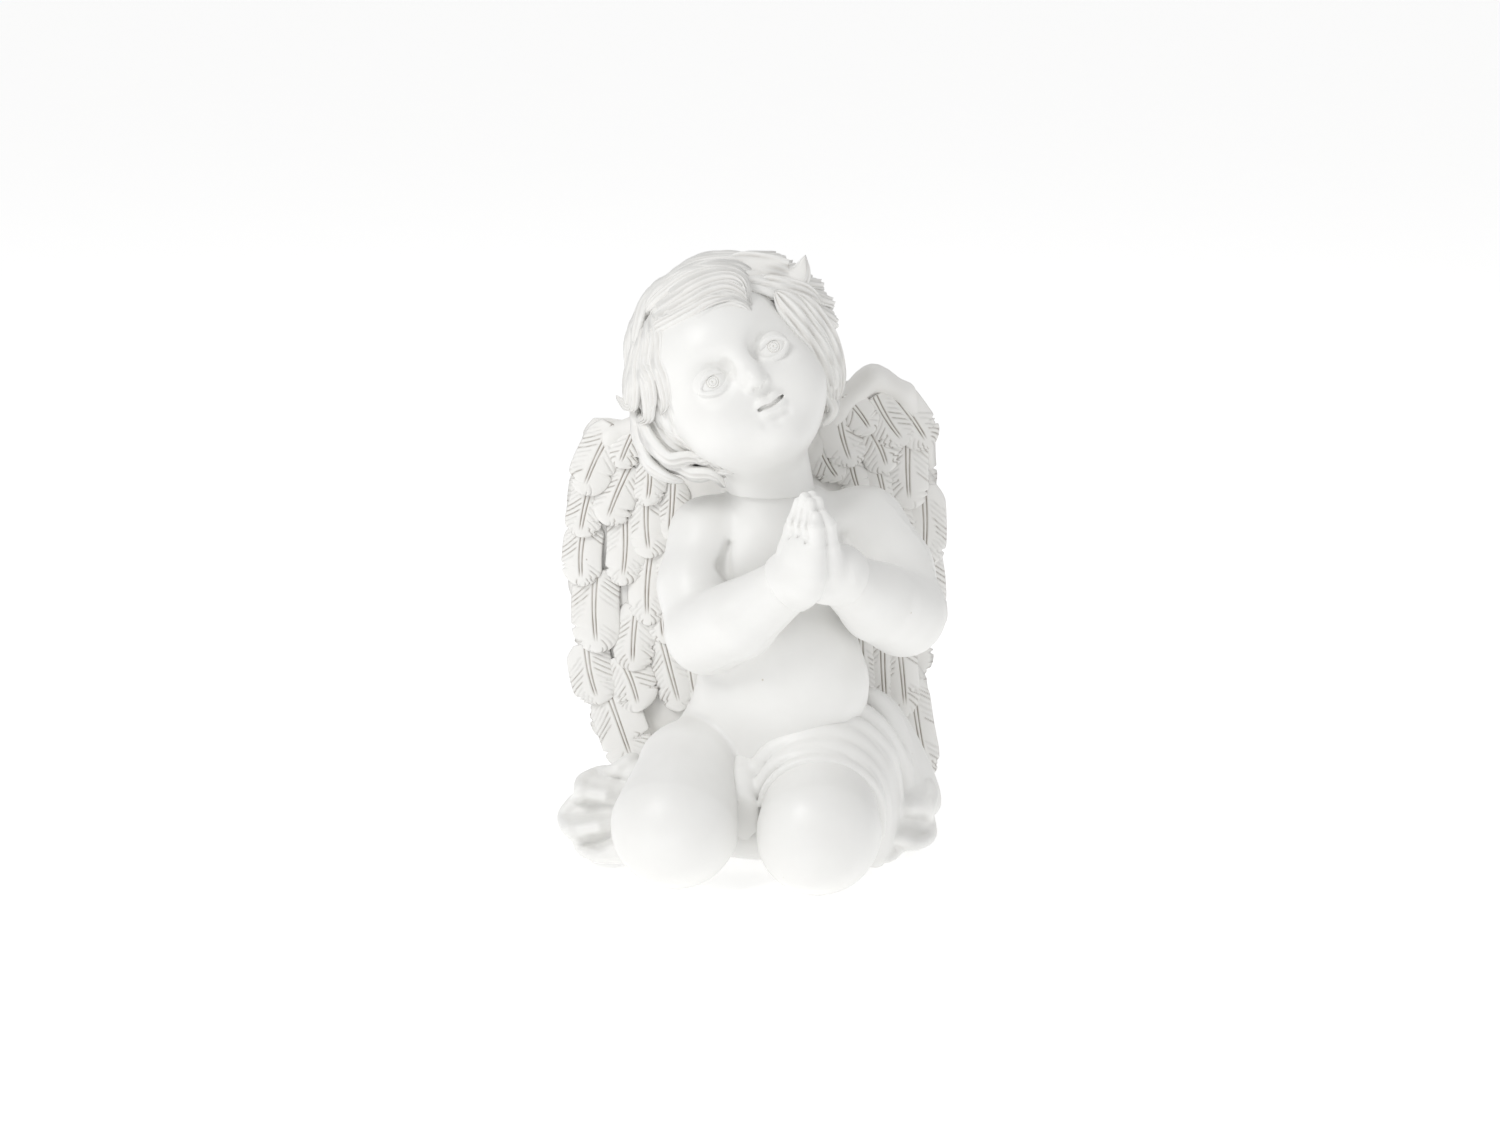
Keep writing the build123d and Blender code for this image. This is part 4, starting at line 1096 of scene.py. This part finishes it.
def back_waves():
    """Rows of locks that start at one height and end at another. Each swings to one side and back
    once on its way down, and its end curls out; every other lock swings the other way."""
    for level, (start, end, lift, count) in enumerate(BACK_ROWS):
        for n in range(count):
            spread = 96 + (n + 0.5 * (level % 2)) * 168 / (count - 0.5)
            swing = (7 + 2 * math.sin(5 * n + level)) * (-1) ** (n + level)
            share = np.linspace(0, 1, 7)
            round_ = spread + swing * np.sin(2 * np.pi * share) * (0.4 + share)
            up = start + (end - start) * share + 4 * share * math.sin(7 * n + level)
            raised = lift + 1.2 * np.sin(np.pi * share) + 3.0 * np.clip(share - 0.7, 0, 1)
            yield lock(scalp(np.stack([round_, up, raised], 1)), 12 - 0.6 * (n % 3), 3.0, 6)


back_at, back_faces, back_groove = bundle(back_waves())
new_piece(
    "hair_back", from_head(back_at), back_faces, "white_resin", ["head_casting"], back_groove
)

# %% [markdown]
# ## The wings
# Each wing is a casting of its own: a thick slab with a rolled upper edge, and overlapping rows of
# feathers on its front. Each feather has a scribed double quill, slanted barb lines and a ragged
# rounded tip. The slab is clay; a feather is a thin closed lens on a grid. We lay feathers like
# roof tiles, from the lowest up, each with its tip lifted over the one below.

# %% The plane of a wing
SPINE_X, SPINE_Y = 10.0, 24.5
SWEEP = math.radians(14)


def wing_axes(side):
    """Outwards along a wing, and out of its front; side is -1 for the right wing."""
    return np.array((side * math.cos(SWEEP), math.sin(SWEEP), 0.0)), np.array(
        (side * math.sin(SWEEP), -math.cos(SWEEP), 0.0)
    )


def on_wing(side, x, height, lift=0.0):
    """The place on a wing's front that is seen at x and at that height from eye level, lifted
    towards the front. Seen height is z and y mixed by the cosine and sine of the eye's angle."""
    x, height = np.asarray(x, float), np.asarray(height, float)
    y = SPINE_Y + np.abs(x - SPINE_X) * math.tan(SWEEP)
    z = (height - math.sin(EYE_LEVEL) * (y + 55)) / math.cos(EYE_LEVEL)
    return np.stack([x, y, z], -1) + np.multiply.outer(lift, wing_axes(side)[1])


print("wings swept by", round(math.degrees(SWEEP)), "degrees")

# %% Feathers as lenses on a grid
FEATHER_LONG = 84
FEATHER_FRONT = 46
FEATHER_BACK = 8
BARB_PITCH = 1.75
SCRIBE_WIDE, SCRIBE_DEEP = 0.19, 0.42
chance = np.random.default_rng(12)


def feather(side, base, tip, width, lift=(0.4, 2.6), bow=0.0, front=1):
    """A lens from base to tip. Across it u runs from -1 to 1 and along it v from 0 to 1. The half
    width opens fast, stays, and closes as an ellipse; the front is domed by the square root of
    1 - u^2, cut by a double quill on both sides of u = 0, and by barb lines that run where
    v length - 0.42 |u| width stays the same. Only some barbs hold the wash."""
    base, tip = np.array(base, float), np.array(tip, float)
    v = np.linspace(0, 1, FEATHER_LONG)[:, None]
    u = np.concatenate(
        [np.linspace(-1, 1, FEATHER_FRONT), np.linspace(1, -1, FEATHER_BACK + 2)[1:-1]]
    )[None, :]
    u = np.sign(u) * np.abs(u) ** 1.25
    is_front = (np.arange(u.size) < FEATHER_FRONT)[None, :]
    length = np.linalg.norm(tip - base)
    along = (tip - base) / length
    across = np.array((along[1], -along[0]))
    notch_at = chance.uniform(0.62, 0.93, 4)
    notch_side = chance.choice((-1.0, 1.0), 4)
    notch = sum(
        0.16 * np.exp(-(((v - a) / 0.018) ** 2)) * (np.sign(u) == s)
        for a, s in zip(notch_at, notch_side)
    )
    opening = np.clip(v / 0.22, 0, 1)
    closing = np.clip((v - 0.66) / 0.34, 0, 1)
    half = width * 0.54 * (0.62 + 0.38 * np.sin(opening * np.pi / 2)) * np.sqrt(1 - closing**2.3)
    half = half * (1 - notch) + 0.02
    edge = np.sqrt(np.clip(1 - u**2, 0, 1))
    slant = v * length - 0.42 * np.abs(u) * width + 0.25 * np.sin(4 * v * length / 9 + 2 * u)
    count = slant / BARB_PITCH + 0.5 * (u > 0)
    line = np.round(count)
    keep = np.sin(line * 12.9898 + 31 * notch_at[0] + (u > 0) * 4.7) > -0.55
    barb = np.exp(-(((count - line) * BARB_PITCH / SCRIBE_WIDE) ** 2)) * keep
    reach = 0.5 + 0.5 * np.sin(line * 7.1 + 2.0)
    barb = barb * np.clip((np.abs(u) - 0.16 - 0.25 * reach) * 9, 0, 1)
    barb = barb * np.clip((v - 0.06) * 12, 0, 1)
    quill_fade = np.clip((0.86 - v) * 9, 0, 1)
    apart = 0.74 * (1 - 0.5 * v)
    quill = np.exp(-(((np.abs(u) * half - apart) / SCRIBE_WIDE) ** 2)) * quill_fade
    scribed = np.clip(np.maximum(barb * 0.85, quill), 0, 1) * is_front
    dome = np.where(is_front, 1.5 * edge, -0.9 * edge)
    thick = dome * (1 - 0.35 * v) - SCRIBE_DEEP * scribed
    rise = lift[0] + (lift[1] - lift[0]) * v**1.3 + bow * np.sin(np.pi * v) - 0.5 * u**2
    sway = 0.9 * np.sin(np.pi * v) * np.sin(23 * notch_at[2])
    seen_x = base[0] + along[0] * v * length + across[0] * (u * half + sway)
    seen_h = base[1] + along[1] * v * length + across[1] * (u * half + sway)
    at = on_wing(side, seen_x, seen_h) + ((rise + thick) * front)[..., None] * wing_axes(side)[1]
    at[0], at[-1] = at[0].mean(0), at[-1].mean(0)
    faces = grid_faces(FEATHER_LONG, u.size, True)
    inked = np.sin(line * 5.3 + 17 * notch_at[1] + (u > 0) * 2.1) > 0.1
    hollow_tint = np.clip(np.maximum((0.08 + 0.6 * inked) * barb, quill) * is_front, 0, 1)
    return at.reshape(-1, 3), faces if side * front > 0 else faces[:, ::-1], hollow_tint.ravel()


RIGHT_FEATHERS = [  # base, tip, width, and lift at the base and at the tip
    ((-47, 64), (-36, 41), 16, (0.6, 9)), ((-54, 80), (-49, 60), 14, (0.6, 3)),
    ((-43, 76), (-35.5, 58), 14, (0.6, 4)), ((-21, 76), (-18, 62), 10, (0.4, 2.4)),
    ((-29, 82), (-22, 58), 12, (0.6, 3)), ((-28, 96), (-27.5, 80), 11, (0.4, 2.4)),
    ((-37, 93), (-38, 71), 13, (0.6, 3.2)), ((-50.5, 104), (-49.5, 77), 15, (0.6, 3.4)),
    ((-25, 118), (-27, 96), 11, (0.4, 2.4)), ((-32, 112), (-33, 86), 12.5, (0.6, 3)),
    ((-41, 124), (-41.5, 99), 12.5, (0.6, 3.2)), ((-54, 119), (-54.5, 99), 12.5, (0.6, 3.4)),
    ((-25, 132), (-26, 114), 10, (0.6, 2.6)), ((-33.5, 130), (-32, 108), 12.5, (0.6, 3.4)),
    ((-52, 131), (-55, 115), 11.5, (0.9, 3.6)), ((-39, 138), (-46.5, 119), 12.5, (0.9, 4)),
    ((-33, 142), (-33, 125), 10, (0.9, 3.8)), ((-36.5, 151), (-42, 137.5), 10, (0.9, 4)),
    ((-44, 151), (-54, 129), 13.5, (0.9, 4.6)),
]
LEFT_FEATHERS = [
    ((52, 68), (57, 36), 11, (0.6, 4)), ((47, 84), (49.5, 56), 11, (0.6, 3)),
    ((42, 84), (44, 50), 10, (0.6, 2.6)), ((35, 88), (37, 62), 9, (0.6, 2.6)),
    ((28, 88), (30, 64), 9, (0.4, 2.4)), ((56, 112), (57.5, 88), 10, (0.6, 3)),
    ((49, 112), (51, 84), 13, (0.6, 3.2)), ((41, 116), (42, 90), 12, (0.6, 3)),
    ((32, 116), (33, 90), 11, (0.6, 2.6)), ((55, 132), (54.5, 104), 14, (0.6, 3.4)),
    ((46, 130), (48.5, 110), 11, (0.6, 3.2)), ((22, 143), (27.5, 133), 10, (0.6, 3)),
    ((31, 141), (33.8, 129), 10, (0.9, 3.4)), ((39, 141), (42.2, 126), 11, (0.9, 3.6)),
    ((50, 149), (50, 124), 13.5, (0.9, 4)), ((36.5, 151), (42.8, 136), 12.5, (0.9, 4.2)),
    ((27, 155), (31.3, 137.5), 12.5, (0.9, 4)), ((45, 161), (56.5, 144), 12.5, (0.9, 4.6)),
    ((39, 160), (48.5, 145), 12.5, (0.9, 5)), ((29, 160), (37.5, 148.5), 10, (0.9, 4.8)),
]
SHOULDER_ROW, TOP_ROW = 118, 130
# Rows behind a wing: height, width of a feather, and how many.
BEHIND_ROWS = ((40, 12, 4), (62, 14, 5), (84, 15, 5), (106, 15, 5), (122, 14, 4), (136, 13, 2))


def behind_feathers(side, outline):
    """Plain rows on the back, from the lowest up, inside the outline at each height. Only the
    left wing, which is higher, has the top row."""
    for height, width, count in BEHIND_ROWS:
        if height > TOP_ROW and side < 0:
            continue
        across = [x for x, z in outline if abs(z - height) < 20]
        near = (min if side > 0 else max)(across) if height > SHOULDER_ROW else SPINE_X + side * 5
        far = (max(across) if side > 0 else min(across)) - side * width * 0.42
        if height > TOP_ROW:
            far = near + side * 16
        for x in np.linspace(near + side * 6, far, count):
            y = SPINE_Y + abs(x - SPINE_X) * math.tan(SWEEP)
            seen = height * math.cos(EYE_LEVEL) + (y + 55) * math.sin(EYE_LEVEL)
            base, tip = (x, seen + 13), (x + side * 2.5, seen - 13)
            yield feather(side, base, tip, width, (6.2, 8.6), 0, -1)


print(len(RIGHT_FEATHERS), "and", len(LEFT_FEATHERS), "feathers")

# %% Cast the wings
RIGHT_EDGE = [
    (-5, 120), (-19, 135), (-34, 139), (-46, 134), (-54, 122), (-58.5, 98), (-58, 76), (-53, 54),
    (-45, 38), (-36, 26), (-24, 33), (-10, 44),
]
LEFT_EDGE = [
    (19, 126), (28, 146), (39, 156), (50, 149), (57, 130), (59.5, 106), (59, 80), (54, 60),
    (52, 42), (57, 24), (46, 24), (34, 34), (22, 48),
]
SLAB_STEP = 0.8
SLAB_INSET, SLAB_HALF, SLAB_ROUND = 1.2, 3.1, 2.0  # from the edge, half the thickness, the corners
ROLL_THICK = 3.2


def wing_slab(side, edge, rolled):
    """A slab of clay inside an edge line, with a roll along its upper edge and a thick root. Its
    depth is the larger of two, rounded where they meet: how far past the faces of the slab, and
    how far outside the edge line."""
    outward, front = wing_axes(side)
    edge = smooth_path(edge + edge[:1], 4 * len(edge))
    flat = np.array([(side * (x - SPINE_X) / math.cos(SWEEP), z) for x, z in edge[:-1]])
    clay = Clay((-64 if side < 0 else 8, 18, 20), (10 if side < 0 else 64, 52, 166), SLAB_STEP)
    part, (x, y, z) = clay.region(clay.low, clay.low + clay.step * np.array(clay.depth.shape))
    run = (x - SPINE_X) * outward[0] + (y - SPINE_Y) * outward[1] + 0 * z
    rise = (x - SPINE_X) * front[0] + (y - SPINE_Y) * front[1] + 0 * z
    outside = np.full(run.shape, 1e6)
    odd = np.zeros(run.shape, bool)
    for a, b in zip(flat, np.roll(flat, -1, 0)):
        d = b - a
        t = np.clip(((run - a[0]) * d[0] + (z - a[1]) * d[1]) / (d @ d), 0, 1)
        outside = np.minimum(outside, np.hypot(run - a[0] - t * d[0], z - a[1] - t * d[1]))
        crosses = ((a[1] > z) != (b[1] > z)) & (run < (z - a[1]) * d[0] / (d[1] + 1e-9) + a[0])
        odd ^= crosses
    outside = np.where(odd, -outside, outside) + SLAB_INSET
    slab = np.abs(rise + 2.9) - SLAB_HALF
    over = np.maximum(outside + SLAB_ROUND, 0) ** 2 + np.maximum(slab + SLAB_ROUND, 0) ** 2
    within = np.minimum(np.maximum(outside, slab) + SLAB_ROUND, 0)
    clay.depth = (np.sqrt(over) - SLAB_ROUND + within).astype(np.float32)
    for start, end in zip(rolled, rolled[1:]):
        clay.limb([on_slab(side, *start), on_slab(side, *end)], ROLL_THICK, 2.5)
    root = side * 7 + SPINE_X
    clay.limb([on_slab(side, root, 72, 1), on_slab(side, root, 110, 1)], [6.5, 8.5], 5)
    return clay


def on_slab(side, x, z, lift):
    """A place on the slab at x and z, lifted out of its front."""
    y = SPINE_Y + abs(x - SPINE_X) * math.tan(SWEEP)
    return np.array((x, y, z)) + lift * wing_axes(side)[1]


ROLLED = {
    -1: [(-6, 117, -1), (-19, 131, -0.5), (-34, 135.5, 0), (-45, 131, 0), (-52.5, 119, -0.5)],
    1: [(20, 125, -1), (28.5, 141, 0), (39, 151, 1.0), (49, 145.5, 1.0), (55.5, 130, 0)],
}
for name, side, edge, feathers in (
    ("right_wing", -1, RIGHT_EDGE, RIGHT_FEATHERS),
    ("left_wing", 1, LEFT_EDGE, LEFT_FEATHERS),
):
    slab_at, slab_faces = wing_slab(side, edge, ROLLED[side]).skin()
    new_piece(name + "_slab", slab_at, slab_faces, "washed_resin", [name])
    laid = bundle(feather(side, b, t, w, l, 0.4) for b, t, w, l in feathers)
    new_piece(name + "_feathers", *laid[:2], "washed_resin", [name], laid[2])
    behind = bundle(behind_feathers(side, edge))
    new_piece(name + "_behind", *behind[:2], "washed_resin", [name], behind[2])

# %% [markdown]
# ## Hidden metal, the plug and the floor
# Inside the joints the castings are held by steel pins and a dowel, cut from drawn rod, which
# leaves fine lines along them. The pour hole under the base is closed by a moulded plug with a
# dull, dusty face. These pieces have their exact shape in the CAD model already, so here they only
# get a finish. The floor is pale and gives off a little light of its own.

# %% Drawn steel, moulded plug and pale floor
STEEL, STEEL_DARK = (0.62, 0.62, 0.63, 1.0), (0.42, 0.42, 0.43, 1.0)
PLUG_LIGHT, PLUG_DARK = (0.50, 0.49, 0.47, 1.0), (0.36, 0.35, 0.34, 1.0)
FLOOR_LIGHT, FLOOR_SHADE = (0.90, 0.90, 0.895, 1.0), (0.885, 0.885, 0.885, 1.0)
FLOOR_GLOW = 0.42


def clouded(name, light, shade, lump_mm, rough, rough_range, stretch=(1, 1, 1), **constants):
    """Two tones mixed by noise of that lump size, which also varies the roughness and a fine
    bump; stretch below one along an axis draws the noise out into lines along it."""
    finish = Finish(name, **constants)
    where = finish.node("TexCoord", output=3)
    drawn = finish.node("Mapping", {"vector_type": "POINT"}, Vector=where, Scale=stretch)
    lumps = finish.node("TexNoise", Vector=drawn, Scale=1 / (lump_mm * MM), Detail=4.0)
    bump = finish.node("Bump", Strength=0.2, Distance=0.2 * MM, Height=lumps)
    finish.feed(
        Base_Color=finish.mix(lumps.held(), light, shade),
        Roughness=(rough + (lumps - 0.5) * rough_range).held(),
        Normal=bump,
    )
    return finish.material


drawn_steel = clouded("drawn_steel", STEEL, STEEL_DARK, 0.5, 0.34, 0.3, (1, 1, 0.08), Metallic=1.0)
plug_finish = clouded("moulded_plug", PLUG_LIGHT, PLUG_DARK, 1.6, 0.62, 0.25)
floor_finish = clouded(
    "pale_studio_floor", FLOOR_LIGHT, FLOOR_SHADE, 60.0, 0.85, 0.1,
    Emission_Color=(1.0, 1.0, 1.0, 1.0), Emission_Strength=FLOOR_GLOW,
)
floor.data.materials.append(floor_finish)

# %% Every piece and every node gets its finish
for piece in pieces.values():
    piece.data.materials.append(wing_resin if "wing" in piece.name else white_resin)
node_finish = {
    "body_casting": white_resin, "head_casting": white_resin, "praying_hands": white_resin,
    "right_wing": wing_resin, "left_wing": wing_resin, "neck_dowel": drawn_steel,
    "wrist_pins": drawn_steel, "right_wing_pins": drawn_steel, "left_wing_pins": drawn_steel,
    "base_plug": plug_finish,
}
for node, material in node_finish.items():
    cad_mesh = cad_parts[node].data
    cad_mesh.materials.clear()
    cad_mesh.materials.append(material)
print(len(pieces), "pieces and", len(node_finish), "nodes have their finish")

# %% [markdown]
# ## Sizes, and the end
# Last, the box round the visual model is printed, as the box round the CAD model was at the
# start, so that the two can be compared.

# %% Print the visual box and finish
VISUAL_LOW, VISUAL_HIGH = (list(corner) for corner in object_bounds())
print("visual box", VISUAL_LOW, VISUAL_HIGH)
